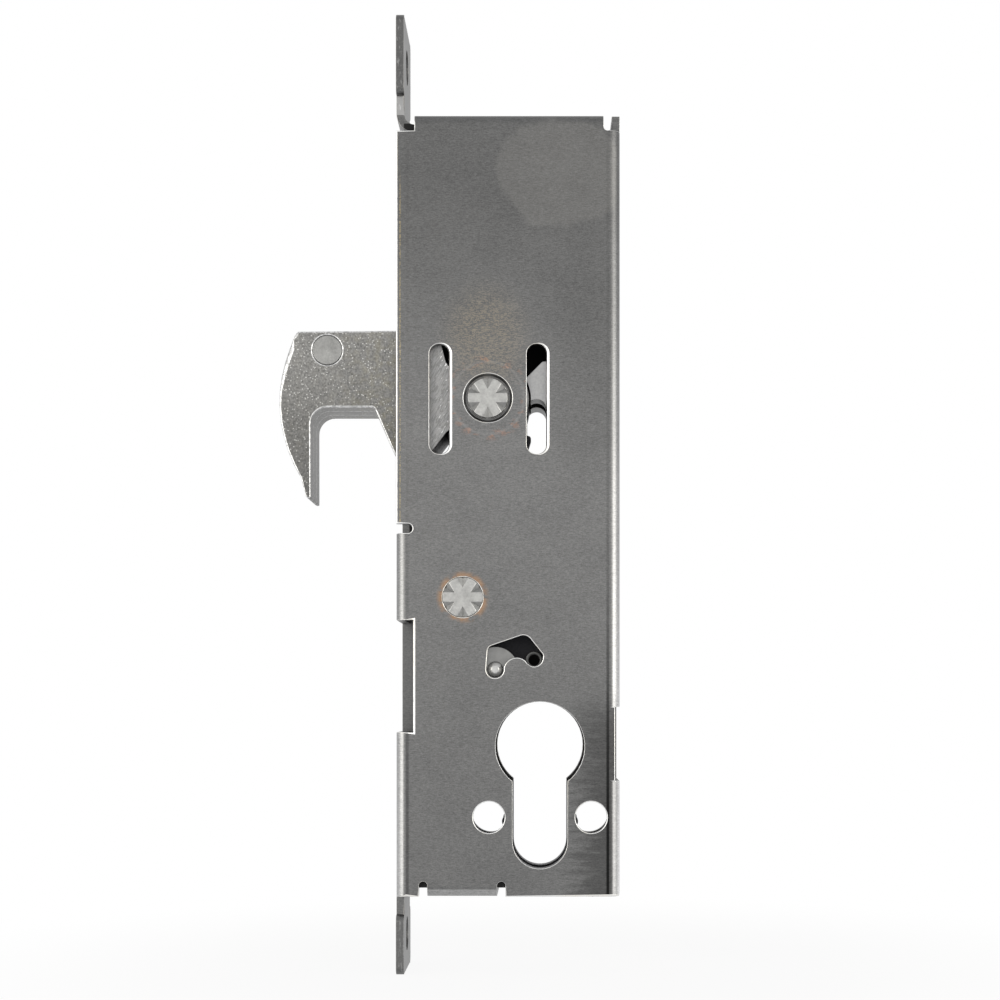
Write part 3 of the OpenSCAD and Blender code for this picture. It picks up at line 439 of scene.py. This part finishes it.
def rivet_steel(look):
    """Turned and peened rivet steel, light, with small marks."""
    p = Paint("peened_rivet")
    turned = p.noise((0.35, 3.0, 0.35), detail=2.0)
    marks = p.noise((1.4, 1.4, 1.4), detail=3.0, seed=3.0)
    tone = 0.36 + 0.30 * turned + 0.44 * marks
    # Below the peened flat of an end, and on rivets that end flush
    tone = tone * (1.0 - 0.30 * p.smooth(p.y, -10.29, -10.2))
    colour = p.tinted(look.bright_colour, tone)
    return p.steel(colour, 0.36 + 0.16 * turned, turned * 0.5 + marks * 0.5, depth=0.015)


def pin_steel(look, name="ground_pin", share=1.0, shaded_hollow=(0.0, 0.0, 0.0)):
    """Ground pin steel, or a share of its tone, with painted shade in a hollow = (x, z, radius)."""
    p = Paint(name)
    rings = p.noise((0.9, 0.12, 0.9), detail=2.0, seed=5.0)
    *centre, radius = shaded_hollow
    outside = p.smooth(p.reach(centre), radius - 0.15, radius - 0.02)
    # Painted shade: the hollow is darkened nearly to black
    tone = (0.85 + 0.3 * rings) * share * (0.03 + 0.97 * outside)
    colour = p.tinted(look.bright_colour, tone)
    return p.steel(colour, 0.26 + 0.12 * rings, rings, depth=0.008)


def dark_steel(look):
    """Phosphated black steel with paler rubbed spots."""
    p = Paint("phosphated_steel")
    grainy = p.noise((0.5, 0.5, 0.5), detail=3.0)
    rubbed = p.smooth(p.noise((2.4, 2.4, 2.4), detail=3.0, seed=6.0), 0.56, 0.78)
    tone = 0.6 + 0.8 * grainy
    colour = p.tinted(look.dark_colour, tone)
    colour = p.mix(rubbed * 0.25, colour, grey(0.16))
    return p.steel(colour, 0.42 + 0.2 * grainy, grainy, depth=0.012)


def spring_steel(look):
    """Drawn spring wire with faint draw marks."""
    p = Paint("spring_wire")
    drawn = p.noise((0.3, 0.3, 0.3), detail=2.0, seed=1.0)
    tone = 0.8 + 0.35 * drawn
    colour = p.tinted(look.wire_colour, tone)
    return p.steel(colour, 0.22 + 0.12 * drawn, drawn, depth=0.005)


# Pieces


def merged_skin(node):
    """The CAD node's triangles merged into one skin, with those of each flat face joined."""
    same_corner, flat = 0.002 * MM, math.radians(0.4)
    skin = bmesh.new()
    skin.from_mesh(frame["nodes"][node].data)
    bmesh.ops.remove_doubles(skin, verts=skin.verts, dist=same_corner)
    bmesh.ops.dissolve_limit(skin, angle_limit=flat, verts=skin.verts, edges=skin.edges)
    mesh = bpy.data.meshes.new("merged")
    skin.to_mesh(mesh)
    skin.free()
    return mesh


def numbers(collection, name, width=1, kind=float):
    """One property of every item of a mesh's collection as an array."""
    values = np.empty(len(collection) * width, kind)
    collection.foreach_get(name, values)
    return values.reshape(-1, width) if width > 1 else values


def same_places(count, first, second):
    """Labels for count things, equal for those that pairs join, directly or through others."""
    label = np.arange(count)
    while True:
        low = np.minimum(label[first], label[second])
        before = label.copy()
        np.minimum.at(label, first, low)
        np.minimum.at(label, second, low)
        label = label[label]
        if np.array_equal(label, before):
            return label


def filled_outline(points, first, second, normal):
    """Triangles that fill a level outline with its holes, given by edges from first to second.

    The outline is laid into the plane with axes u and v, u x v = normal. A triangle lies inside
    where a ray along u from its middle crosses an odd number of edges. None where the edges cross
    each other.
    """
    u = np.cross(normal, np.eye(3)[np.argmin(np.abs(normal))])
    u /= np.linalg.norm(u)
    used, index = np.unique(np.concatenate([first, second]), return_inverse=True)
    plane = points[used] @ np.stack([u, np.cross(normal, u)], 1)
    edges = index.reshape(2, -1).T
    _, _, faces, sources, _, _ = delaunay_2d_cdt(plane.tolist(), edges.tolist(), [], 1, 1e-7)
    if not faces or not all(sources):
        return None
    triangles = np.array([source[0] for source in sources])[np.array(faces)]
    across, up = plane[triangles].mean(1).T[:, :, None]
    start, end = plane[edges[:, 0]], plane[edges[:, 1]]
    run = end - start
    passed = (start[:, 1] > up) != (end[:, 1] > up)
    rise = np.where(run[:, 1] == 0, 1.0, run[:, 1])
    meets = start[:, 0] + (up - start[:, 1]) * run[:, 0] / rise
    return used[triangles[(passed & (meets > across)).sum(1) % 2 == 1]]


def least_moves(count, place, inward, wanted):
    """The least move of each of count places that goes wanted far along each inward given for it.

    With rows w, g of inward and wanted at one place, the move m solves sum(w w^T) m = sum(g w).
    """
    matrix = np.zeros((count, 3, 3))
    aim = np.zeros((count, 3))
    np.add.at(matrix, place, inward[:, :, None] * inward[:, None, :])
    np.add.at(aim, place, wanted[:, None] * inward)
    return np.einsum("nij,nj->ni", np.linalg.pinv(matrix, rcond=1e-3, hermitian=True), aim)


def refilled(moved, place, after, face_of, region, border, normal):
    """Triangles that fill each region of level faces anew, and whether each face is kept.

    A region of one face is left as it is, and so is one whose moved outline crosses itself.
    """
    count = len(region)
    outline = border & (np.bincount(region, minlength=count)[region] > 1)[face_of]
    kept = np.ones(count, bool)
    fills = [np.empty((0, 3), int)]
    for each in np.unique(region[face_of[outline]]):
        mine = outline & (region[face_of] == each)
        triangles = filled_outline(moved, place[mine], place[after[mine]], normal[each])
        if triangles is not None:
            fills.append(triangles)
            kept[region == each] = False
    return np.concatenate(fills), kept


def rolled_skin(mesh, roll, stands_out):
    """Corners, faces and strip count of a closed skin whose outer edges are rolled.

    An edge is rolled where its two faces turn away from each other by more than stands_out
    degrees. On each face beside it the old corner v moves inwards to p or q, as far from the edge
    as the roll is wide, and between the two faces runs the strip
    (1 - t)^2 p + 2 t (1 - t) v + t^2 q with t from 0 to 1.
    """
    steps = 3
    points = numbers(mesh.vertices, "co", 3) / MM
    normal = numbers(mesh.polygons, "normal", 3)
    counts = numbers(mesh.polygons, "loop_total", kind=int)
    corner_at = numbers(mesh.loops, "vertex_index", kind=int)
    edge_of = numbers(mesh.loops, "edge_index", kind=int)
    if np.any(np.bincount(edge_of, minlength=len(mesh.edges)) != 2):
        raise RuntimeError("the skin isn't closed")
    # An edge starts at corner one in a face and at corner two in the other. After is the next
    face_of = np.repeat(np.arange(len(counts)), counts)
    starts = np.cumsum(counts) - counts
    after = np.arange(len(corner_at)) + 1
    after[starts + counts - 1] = starts
    one, two = np.argsort(edge_of, kind="stable").reshape(-1, 2).T
    a, b = corner_at[one], corner_at[two]
    along = points[b] - points[a]
    along /= np.linalg.norm(along, axis=1, keepdims=True)
    n1, n2 = normal[face_of[one]], normal[face_of[two]]
    in1, in2 = np.cross(n1, along), np.cross(n2, -along)
    angle = np.degrees(np.arccos(np.clip((n1 * n2).sum(1), -1.0, 1.0)))
    outward = (angle > stands_out) & ((in2 * n1).sum(1) < 0)
    width = np.where(outward, roll((points[a] + points[b]) / 2, n1, n2), 0.0)
    rolled = width > 0
    # A point rolls by the mean of its rolled edges, and not at all where only one ends
    ends = np.concatenate([a[rolled], b[rolled]])
    number = np.bincount(ends, minlength=len(points))
    share = np.bincount(ends, np.tile(width[rolled], 2), len(points)) / np.maximum(number, 1)
    share[number == 1] = 0.0
    # Corners that meet across an edge that isn't rolled stay in one place
    flat = ~rolled
    left = np.concatenate([one[flat], after[one[flat]]])
    right = np.concatenate([after[two[flat]], two[flat]])
    label = same_places(len(corner_at), left, right)
    _, first_corner, place = np.unique(label, return_index=True, return_inverse=True)
    # A place moves the roll's width inside each rolled edge beside it, and at most twice that
    corners = np.concatenate([one[rolled], after[one[rolled]], two[rolled], after[two[rolled]]])
    inward = np.concatenate([in1[rolled], in1[rolled], in2[rolled], in2[rolled]])
    move = least_moves(len(first_corner), place[corners], inward, share[corner_at[corners]])
    limit = 2.0 * share[corner_at[first_corner]][:, None]
    length = np.maximum(np.linalg.norm(move, axis=1, keepdims=True), 1e-9)
    moved = points[corner_at[first_corner]] + move * np.minimum(1.0, limit / length)
    t = np.linspace(0.0, 1.0, steps + 1)[None, :, None]

    def strip(old, left, right):
        p, v, q = moved[left][:, None], points[old][:, None], moved[right][:, None]
        return (1 - t) ** 2 * p + 2 * t * (1 - t) * v + t ** 2 * q

    rows_a = strip(a[rolled], place[one[rolled]], place[after[two[rolled]]])
    rows_b = strip(b[rolled], place[after[one[rolled]]], place[two[rolled]])
    count = int(rolled.sum())
    base = len(moved) + np.arange(count)[:, None] * (steps + 1) + np.arange(steps)
    other = base + count * (steps + 1)
    quads = np.stack([other, base, base + 1, other + 1], -1).reshape(-1, 4)
    corners_out = np.concatenate([moved, rows_a.reshape(-1, 3), rows_b.reshape(-1, 3)])
    # Faces that lie level with each other are filled anew between their moved outlines
    level = flat & (angle < 0.5)
    region = same_places(len(counts), face_of[one[level]], face_of[two[level]])
    border = np.ones(len(corner_at), bool)
    border[one[level]] = border[two[level]] = False
    fills, kept = refilled(moved, place, after, face_of, region, border, normal)
    loops_out = np.concatenate([place[kept[face_of]], fills.ravel(), quads.ravel()])
    counts_out = np.concatenate([counts[kept], np.full(len(fills), 3), np.full(len(quads), 4)])
    return corners_out * MM, loops_out, counts_out, len(quads)


def finish_node(node, name, materials, roll, stands_out):
    """Puts a CAD node's shape with its outer edges rolled in place of the node.

    The rolled strips take the last material. The rings left open where three rolls meet are
    filled, and large faces lead the shading, so that plates stay flat beside their rolled edges.
    """
    same_corner, crease = 0.0005 * MM, math.radians(42.0)
    merged = merged_skin(node)
    corners, loops, counts, strips = rolled_skin(merged, roll, stands_out)
    bpy.data.meshes.remove(merged)
    mesh = bpy.data.meshes.new(name)
    mesh.vertices.add(len(corners))
    mesh.vertices.foreach_set("co", corners.ravel())
    mesh.loops.add(len(loops))
    mesh.loops.foreach_set("vertex_index", loops)
    mesh.polygons.add(len(counts))
    mesh.polygons.foreach_set("loop_start", np.cumsum(counts) - counts)
    which = np.zeros(len(counts), int)
    which[len(counts) - strips:] = len(materials) - 1
    mesh.polygons.foreach_set("material_index", which)
    mesh.update(calc_edges=True)
    skin = bmesh.new()
    skin.from_mesh(mesh)
    bmesh.ops.remove_doubles(skin, verts=skin.verts, dist=same_corner)
    gaps = [edge for edge in skin.edges if edge.is_boundary]
    for face in bmesh.ops.holes_fill(skin, edges=gaps, sides=0)["faces"]:
        face.material_index = len(materials) - 1
    bmesh.ops.recalc_face_normals(skin, faces=skin.faces)
    skin.to_mesh(mesh)
    skin.free()
    mesh.shade_smooth()
    mesh.set_sharp_from_angle(angle=crease)
    for material in materials:
        mesh.materials.append(material)
    piece = bpy.data.objects.new(name, mesh)
    bpy.context.scene.collection.objects.link(piece)
    lead = piece.modifiers.new("large_faces_lead", "WEIGHTED_NORMAL")
    lead.keep_sharp = True
    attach(piece, frame["nodes"][node]["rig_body"])
    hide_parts(node)


def dress(nodes, materials, roll, stands_out=28.0, ending="steel"):
    """Finishes each of the nodes as a piece with the node's name and the ending."""
    for node in nodes:
        finish_node(node, f"{node}_{ending}", materials, roll, stands_out)


def even(width):
    """The same roll on every edge."""
    return lambda middle, first, second: np.full(len(middle), width)


def within(middle, *boxes):
    """Whether each place lies in one of the boxes (x from, x to, z from, z to)."""
    x, z = middle[:, 0], middle[:, 2]
    inside = [(x > x0) & (x < x1) & (z > z0) & (z < z1) for x0, x1, z0, z1 in boxes]
    return np.any(inside, axis=0)


def sheet_roll(look):
    """Roll of the case's punched edges.

    The near face's edges take the full rim at the mouth and on those sides of the rose slots whose
    wall faces the door's edge. The cylinder's opening is cut nearly square.
    """

    def roll(middle, first, second):
        x, y, z = middle.T
        wall = np.where(np.abs(first[:, 1:2]) < np.abs(second[:, 1:2]), first, second)
        near = y < NEAR_FACE + 0.05
        ears = (z > CASE_TOP) | (z < CASE_BOTTOM)
        punched = (x > -27.5) & (np.abs(wall[:, 2]) > 0.5)
        slot_rim = 0.10 + (look.rim + 0.1) * np.clip(-wall[:, 0], 0.0, 1.0)
        square_cut = within(middle, CYLINDER_LEG)
        for centre, radius in ((CYLINDER, 9.3), (HOOK_PIVOT, 5.7)):
            square_cut |= np.hypot(x - centre[0], z - centre[1]) < radius
        # The first rule that an edge fits gives its width
        rules = [
            (within(middle, *NOTCHES), 0.04),
            (ears & punched, 0.5),
            (ears, 0.06),
            (near & within(middle, RECESS_EDGE), look.rim + 0.3),
            (near & (x < CASE_FRONT + 0.05) & (z > MOUTH_Z), look.rim + 0.2),
            (near & square_cut, 0.06),
            (near & within(middle, *HANDLE_HOLES), 0.15),
            (near & within(middle, KIDNEY_TIP), 0.08),
            (near & within(middle, *ROSE_SLOTS), slot_rim),
            (near, 0.16),
        ]
        fits, widths = zip(*rules)
        return np.select(fits, widths, 0.08)

    return roll


class HookLockCaseLook(bpy.types.PropertyGroup):
    sheet_colour: FloatVectorProperty(
        name="Sheet tint", description="Cast of the galvanised sheet over its own tone",
        default=(1.0, 1.0, 1.0), size=3, min=0.0, max=2.0, subtype="COLOR")
    rim: FloatProperty(
        name="Punched rim",
        description="Width of the rolled rim on the slots and the mouth, in millimetres",
        default=0.42, min=0.1, max=0.8)
    rim_tone: FloatProperty(
        name="Rim tone", description="How light the rolled rims are",
        default=0.75, min=0.05, max=0.9)
    stain: FloatProperty(
        name="Stains", description="Strength of the stain, tan and rust marks",
        default=1.0, min=0.0, max=2.0)


class HookLockHookLook(bpy.types.PropertyGroup):
    hook_colour: FloatVectorProperty(
        name="Hook tint", description="Cast of the hook's plating over its own tone",
        default=(1.0, 0.99, 0.965), size=3, min=0.0, max=2.0, subtype="COLOR")
    rim_tone: FloatProperty(
        name="Edge tone", description="How light the hook's rolled edges are",
        default=0.6, min=0.05, max=0.9)
    specks: FloatProperty(
        name="Specks", description="Strength of the pale specks",
        default=0.5, min=0.0, max=1.0)
    gold: FloatProperty(
        name="Gold cast", description="Strength of the olive and gold patches",
        default=1.0, min=0.0, max=2.0)
    edge: FloatProperty(
        name="Edge roll",
        description="Width of the rolled edge on the hook's outer faces, in millimetres",
        default=0.35, min=0.05, max=0.6)
    shear: FloatProperty(
        name="Sheared corner",
        description="Width of the sheared strip at the upper back, in millimetres",
        default=1.1, min=0.2, max=1.4)


class HookLockSteelLook(bpy.types.PropertyGroup):
    bright_colour: FloatVectorProperty(
        name="Bright steel", description="Rivets, pins and washers",
        default=(0.50, 0.50, 0.49), size=3, min=0.0, max=1.0, subtype="COLOR")
    dark_colour: FloatVectorProperty(
        name="Dark steel", description="Lever, bushes, shims and cheeks",
        default=(0.035, 0.035, 0.038), size=3, min=0.0, max=1.0, subtype="COLOR")
    wire_colour: FloatVectorProperty(
        name="Spring wire", description="The locking spring",
        default=(0.42, 0.42, 0.43), size=3, min=0.0, max=1.0, subtype="COLOR")
    edge: FloatProperty(
        name="Small edges", description="Roll of the small pieces' edges, in millimetres",
        default=0.12, min=0.02, max=0.3)


class HookLockStageLook(bpy.types.PropertyGroup):
    camera_distance: FloatProperty(
        name="Camera distance", description="Camera to the middle of the case",
        default=0.395, min=0.2, max=2.0, unit="LENGTH")
    camera_height: FloatProperty(
        name="Camera height", description="Camera above the cylinder axis",
        default=0.0083, min=-0.2, max=0.4, unit="LENGTH")
    lens: FloatProperty(
        name="Lens", description="Focal length in millimetres",
        default=68.9, min=20.0, max=200.0)
    panel_light: FloatProperty(
        name="Panel light", description="Radiance of the two side panels",
        default=3.4, min=0.0, max=20.0)
    room_light: FloatProperty(
        name="Room light",
        description="Strength of the light from all round on matt surfaces",
        default=0.35, min=0.0, max=2.0)
    floor_tone: FloatProperty(
        name="Floor tone", description="How pale the floor is", default=0.9, min=0.2, max=1.0)


class HookLockCase(bpy.types.Operator):
    """Dresses the two folded case halves and the hook stops"""

    bl_idname = "hooklock.case"
    bl_label = "Case halves"

    def execute(self, context):
        look = context.scene.hook_lock_case
        sheet, burr = sheet_steel(look), rim_steel("plain_rim", 0.22)
        rim = rim_steel("rolled_rim", look.rim_tone)
        dress(["case_body"], [sheet, rim], sheet_roll(look), ending="sheet")
        dress(["case_frame"], [sheet, burr], sheet_roll(look), ending="sheet")
        stops = ["hook_stop_front", "hook_stop_rear"]
        dress(stops, [stop_steel(), burr], even(0.1), ending="plate")
        return {"FINISHED"}


class HookLockHook(bpy.types.Operator):
    """Dresses the three hook plates with their rolled and sheared edges"""

    bl_idname = "hooklock.hook"
    bl_label = "Hook plates"

    def execute(self, context):
        look = context.scene.hook_lock_hook
        skins = [hook_steel(look), hook_rim_steel(look)]

        def roll(middle, first, second):
            x, y, z = middle.T
            outer = np.abs(y) > HOOK_FACE - 0.05
            width = np.where(outer, look.edge, 0.2)
            # The near face's outer edge is sheared wider between z = 71 and 84
            back = x < -44.0 - 0.06 * np.abs(z - 70.0)
            back &= np.minimum(first[:, 0], second[:, 0]) < -0.4
            upper = np.clip((z - 71.0) / 6.0, 0.0, 1.0) * np.clip((84.0 - z) / 1.5, 0.0, 1.0)
            sheared = look.edge + (look.shear - look.edge) * upper
            width = np.where(outer & back & (y < 0), sheared, width)
            # The tip and what is hidden by the case
            narrow = (z < 53.0) & (x < -44.0) | (x > CASE_FRONT - 0.5)
            return np.where(narrow, 0.15, width)

        plates = [f"hook_plate_{place}" for place in ("front", "middle", "rear")]
        dress(plates, skins, roll)
        return {"FINISHED"}


class HookLockRivets(bpy.types.Operator):
    """Dresses the rivets, the hook's tail pin and the spring's post"""

    bl_idname = "hooklock.rivets"
    bl_label = "Rivets and pins"

    def execute(self, context):
        look = context.scene.hook_lock_steel
        rivets = ["hook_pivot_rivet", "lever_pivot_rivet", "hook_rivet_outer", "hook_rivet_inner",
                  "hook_tail_pin", "lever_rivet", "spring_post"]
        dress(rivets, [rivet_steel(look)], even(look.edge), stands_out=20.0)
        return {"FINISHED"}


class HookLockLever(bpy.types.Operator):
    """Dresses the drive lever, its bush and its stud"""

    bl_idname = "hooklock.lever"
    bl_label = "Drive lever"

    def execute(self, context):
        look = context.scene.hook_lock_steel
        dark, bright = [dark_steel(look)], [rivet_steel(look)]
        dress(["drive_lever_front", "drive_lever_rear"], dark, even(look.edge))
        shaded_hollow_radius = 1.25
        # The stud's hollow gets painted shade
        stud = [pin_steel(look, "dull_stud", 0.22, (*STUD, shaded_hollow_radius))]
        dress(["lever_stud"], stud, even(0.06))
        dress(["lever_bush"], bright, even(look.edge))
        return {"FINISHED"}


class HookLockInside(bpy.types.Operator):
    """Dresses the shims, spacers, bushes and cheeks inside the case"""

    bl_idname = "hooklock.inside"
    bl_label = "Inside pieces"

    def execute(self, context):
        look = context.scene.hook_lock_steel
        dark, bright = [dark_steel(look)], [pin_steel(look)]
        for side in ("front", "rear"):
            thin = [f"{piece}_{side}" for piece in ("hook_shim", "cylinder_cheek", "hook_bush")]
            dress(thin, dark, even(0.06))
            dress([f"lever_spacer_{side}"], bright, even(look.edge))
        return {"FINISHED"}


def spring_line(steps_a_turn):
    """The middle line of the locking spring's wire, as rows of x, y, z in millimetres.

    A straight leg over the pin touches the coil. The coil is the helix
    coil + coil_r (cos v, sin v) with y = y0 - pitch (v - start) / 2 pi, which comes nearer to the
    near plate. From its lowest point a second straight leg runs on to the back wall.
    """
    coil_r, pitch, turns = 3.2, 1.25, 2
    pin_r, play, overhang, washer_face, roller_end = 1.5, 0.05, 2.4, 6.9, 5.0
    pin, coil = np.array(PIN_REST), np.array(COIL)
    leg_gap = pin_r + WIRE / 2 + play
    gap = coil - pin
    up = math.atan2(gap[1], gap[0]) + math.acos((coil_r + leg_gap) / np.hypot(*gap))
    out = np.array([math.cos(up), math.sin(up)])
    foot = pin + leg_gap * out
    end = foot + overhang * np.array([-out[1], out[0]])
    start = up - math.pi
    angle = 2 * math.pi * turns - math.pi / 2 - start
    y0 = (washer_face + roller_end) / 2
    t = np.linspace(0.0, 1.0, int(steps_a_turn * angle / (2 * math.pi)))
    y1 = y0 - pitch * angle / (2 * math.pi)
    v = start + angle * t
    helix_x, helix_z = coil[0] + coil_r * np.cos(v), coil[1] + coil_r * np.sin(v)
    helix = np.stack([helix_x, y0 + (y1 - y0) * t, helix_z], 1)
    first = np.linspace([end[0], y0, end[1]], [foot[0], y0, foot[1]], 6)
    across = np.linspace(first[-1], helix[0], 24)[1:-1]
    wall = [CASE_BACK - SHEET - play, y1, coil[1] - coil_r]
    last = np.linspace(helix[-1], wall, 12)[1:]
    return np.concatenate([first, across, helix, last])


def swept(line, radius, sides):
    """Rings of points across a line, with three more past each end that shrink to a low dome.

    Each ring is line(u) + radius(u) * (b cos v + c sin v), where b and c stand across the line's
    direction and b lies nearest to Y.
    """
    direction = np.gradient(line, axis=0)
    direction /= np.linalg.norm(direction, axis=1, keepdims=True)
    turns = np.radians([75.0, 50.0, 25.0])[:, None]
    dome = 0.35 * radius
    head = line[0] - direction[0] * dome * np.sin(turns)
    foot = line[-1] + direction[-1] * dome * np.sin(turns[::-1])
    closing = np.cos(turns[:, 0])
    radii = np.concatenate([closing, np.ones(len(line)), closing[::-1]]) * radius
    line = np.concatenate([head, line, foot])
    own = np.clip(np.arange(len(line)) - len(turns), 0, len(direction) - 1)
    direction = direction[own]
    b = np.array([0.0, 1.0, 0.0]) - direction * direction[:, 1:2]
    b /= np.linalg.norm(b, axis=1, keepdims=True)
    c = np.cross(direction, b)
    v = np.linspace(0.0, 2 * math.pi, sides, endpoint=False)[None, :, None]
    return line[:, None] + radii[:, None, None] * (b[:, None] * np.cos(v) + c[:, None] * np.sin(v))


def tube_piece(name, rings, material):
    """A closed mesh from rings of points, with a flat cap on each end ring."""
    count, sides = rings.shape[:2]
    side = np.arange(sides)
    ring = np.arange(count - 1)[:, None] * sides
    a, b = ring + side, ring + (side + 1) % sides
    quads = np.stack([a, b, b + sides, a + sides], -1).reshape(-1, 4)
    caps = [side[::-1].tolist(), (side + (count - 1) * sides).tolist()]
    mesh = bpy.data.meshes.new(name)
    mesh.from_pydata((rings.reshape(-1, 3) * MM).tolist(), [], quads.tolist() + caps)
    mesh.shade_smooth()
    mesh.materials.append(material)
    piece = bpy.data.objects.new(name, mesh)
    bpy.context.scene.collection.objects.link(piece)
    return piece


class HookLockPin(bpy.types.Operator):
    """Dresses the locking pin with its washers and rollers and winds its spring"""

    bl_idname = "hooklock.pin"
    bl_label = "Locking pin and spring"

    def execute(self, context):
        look = context.scene.hook_lock_steel
        dress(["locking_pin"], [pin_steel(look)], even(0.04))
        washers = [pin_steel(look, "plain_washer", 0.45)]
        rings = ["locking_pin_washers", "locking_pin_rollers"]
        dress(rings, washers, even(look.edge))
        wire = swept(spring_line(steps_a_turn=64), WIRE / 2, sides=16)
        spring = tube_piece("locking_spring_wire", wire, spring_steel(look))
        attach(spring, "case")
        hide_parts("locking_spring")
        return {"FINISHED"}


class HookLockStage(bpy.types.Operator):
    """Sets the floor, the room's light, the two side panels and the camera"""

    bl_idname = "hooklock.stage"
    bl_label = "Floor, light and camera"

    def execute(self, context):
        look = context.scene.hook_lock_stage
        self.set_floor(context, look)
        self.set_room(context, look)
        for side in (-1, 1):
            self.hang_panel(context, look, side)
        self.set_camera(context, look)
        context.scene.view_settings.view_transform = "Standard"
        return {"FINISHED"}

    def set_floor(self, context, look):
        """A pale matt floor that is seen nearly white by the object and white away from it."""
        half, cells = 1.5, 24
        across = np.linspace(-half, half, cells + 1)
        grid = np.stack(np.meshgrid(across, across, indexing="ij"), -1).reshape(-1, 2)
        corners = np.column_stack([grid, np.full(len(grid), cad_box[0][2])])
        row = cells + 1
        corner = (np.arange(cells)[:, None] * row + np.arange(cells)).ravel()
        squares = np.stack([corner, corner + row, corner + row + 1, corner + 1], 1)
        mesh = bpy.data.meshes.new("floor")
        mesh.from_pydata(corners.tolist(), [], squares.tolist())
        floor = bpy.data.objects.new("floor", mesh)
        context.scene.collection.objects.link(floor)
        p = Paint("pale_floor")
        tone = look.floor_tone * (0.98 + 0.04 * p.noise((180.0, 180.0, 180.0)))
        matt = p.node("ShaderNodeBsdfDiffuse", {}, {"Color": p.plain(tone)})
        white = p.node("ShaderNodeEmission", {}, {"Color": (1.0, 1.0, 1.0), "Strength": 1.0})
        away = (p.x * p.x + p.y * p.y) ** 0.5
        share = p.seen() * (0.92 + 0.08 * p.smooth(away, 40.0, 160.0))
        p.finish(p.node("ShaderNodeMixShader", {}, [share, matt, white]))
        mesh.materials.append(p.material)

    def set_room(self, context, look):
        """A room that is seen white and lights matt surfaces with the room light."""
        world = bpy.data.worlds.new("plain_room")
        context.scene.world = world
        world.use_nodes = True
        room = Board(world.node_tree)
        strength = look.room_light + (1.0 - look.room_light) * room.seen()
        inputs = {"Color": (1.0, 1.0, 1.0), "Strength": strength}
        light = room.node("ShaderNodeBackground", {}, inputs)
        room.node("ShaderNodeOutputWorld", {}, [light])

    def hang_panel(self, context, look, side):
        """A large panel at one side, turned off the camera's line and facing the case."""
        width, height, far, middle = 1.0, 0.92, 1.0, -0.04
        aside = math.radians(46.0)
        lamp = bpy.data.lights.new(f"side_panel_{'left' if side < 0 else 'right'}", "AREA")
        lamp.shape = "RECTANGLE"
        lamp.size, lamp.size_y = width, height
        # A one-sided panel of radiance L gives off pi * L * area
        lamp.energy = math.pi * look.panel_light * width * height
        lamp.color = (1.0, 0.975, 0.91)
        panel = bpy.data.objects.new(lamp.name, lamp)
        panel.location = (side * far * math.sin(aside), -far * math.cos(aside), middle)
        panel.rotation_euler = (math.pi / 2, 0.0, side * aside)
        context.scene.collection.objects.link(panel)

    def set_camera(self, context, look):
        """A level camera in front, with its lens shifted as the photograph is cropped."""
        lens = bpy.data.cameras.new("camera")
        lens.lens = look.lens
        lens.sensor_width = 36.0
        lens.shift_x, lens.shift_y = -0.04, 0.205
        lens.clip_start, lens.clip_end = 0.01, 20.0
        camera = bpy.data.objects.new("camera", lens)
        camera.location = (0.0, -look.camera_distance, look.camera_height)
        camera.rotation_euler = (math.pi / 2, 0.0, 0.0)
        context.scene.collection.objects.link(camera)
        context.scene.camera = camera


class HookLockPanel(bpy.types.Panel):
    bl_idname = "VIEW3D_PT_hook_lock"
    bl_label = "Hook lock"
    bl_space_type = "VIEW_3D"
    bl_region_type = "UI"
    bl_category = "Hook lock"

    def draw(self, context):
        for heading, look, operators in GROUPS:
            box = self.layout.box()
            box.label(text=heading)
            settings = getattr(context.scene, look)
            for name in type(settings).__annotations__:
                box.prop(settings, name)
            for operator in operators:
                box.operator(operator.bl_idname)


GROUPS = [
    ("Case", "hook_lock_case", [HookLockCase]),
    ("Hook", "hook_lock_hook", [HookLockHook]),
    ("Small steel pieces", "hook_lock_steel",
     [HookLockRivets, HookLockLever, HookLockInside, HookLockPin]),
    ("Stage", "hook_lock_stage", [HookLockStage]),
]
LOOKS = {
    "hook_lock_case": HookLockCaseLook,
    "hook_lock_hook": HookLockHookLook,
    "hook_lock_steel": HookLockSteelLook,
    "hook_lock_stage": HookLockStageLook,
}
CLASSES = [*LOOKS.values(), HookLockCase, HookLockHook, HookLockRivets, HookLockLever,
           HookLockInside, HookLockPin, HookLockStage, HookLockPanel]


def register():
    for made in CLASSES:
        bpy.utils.register_class(made)
    for name, look in LOOKS.items():
        setattr(bpy.types.Scene, name, PointerProperty(type=look))


def unregister():
    for name in LOOKS:
        delattr(bpy.types.Scene, name)
    for made in reversed(CLASSES):
        bpy.utils.unregister_class(made)


def main():
    """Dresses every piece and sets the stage."""
    register()
    bpy.ops.hooklock.case()
    bpy.ops.hooklock.hook()
    bpy.ops.hooklock.rivets()
    bpy.ops.hooklock.lever()
    bpy.ops.hooklock.inside()
    bpy.ops.hooklock.pin()
    bpy.ops.hooklock.stage()


if __name__ == "__main__":
    main()
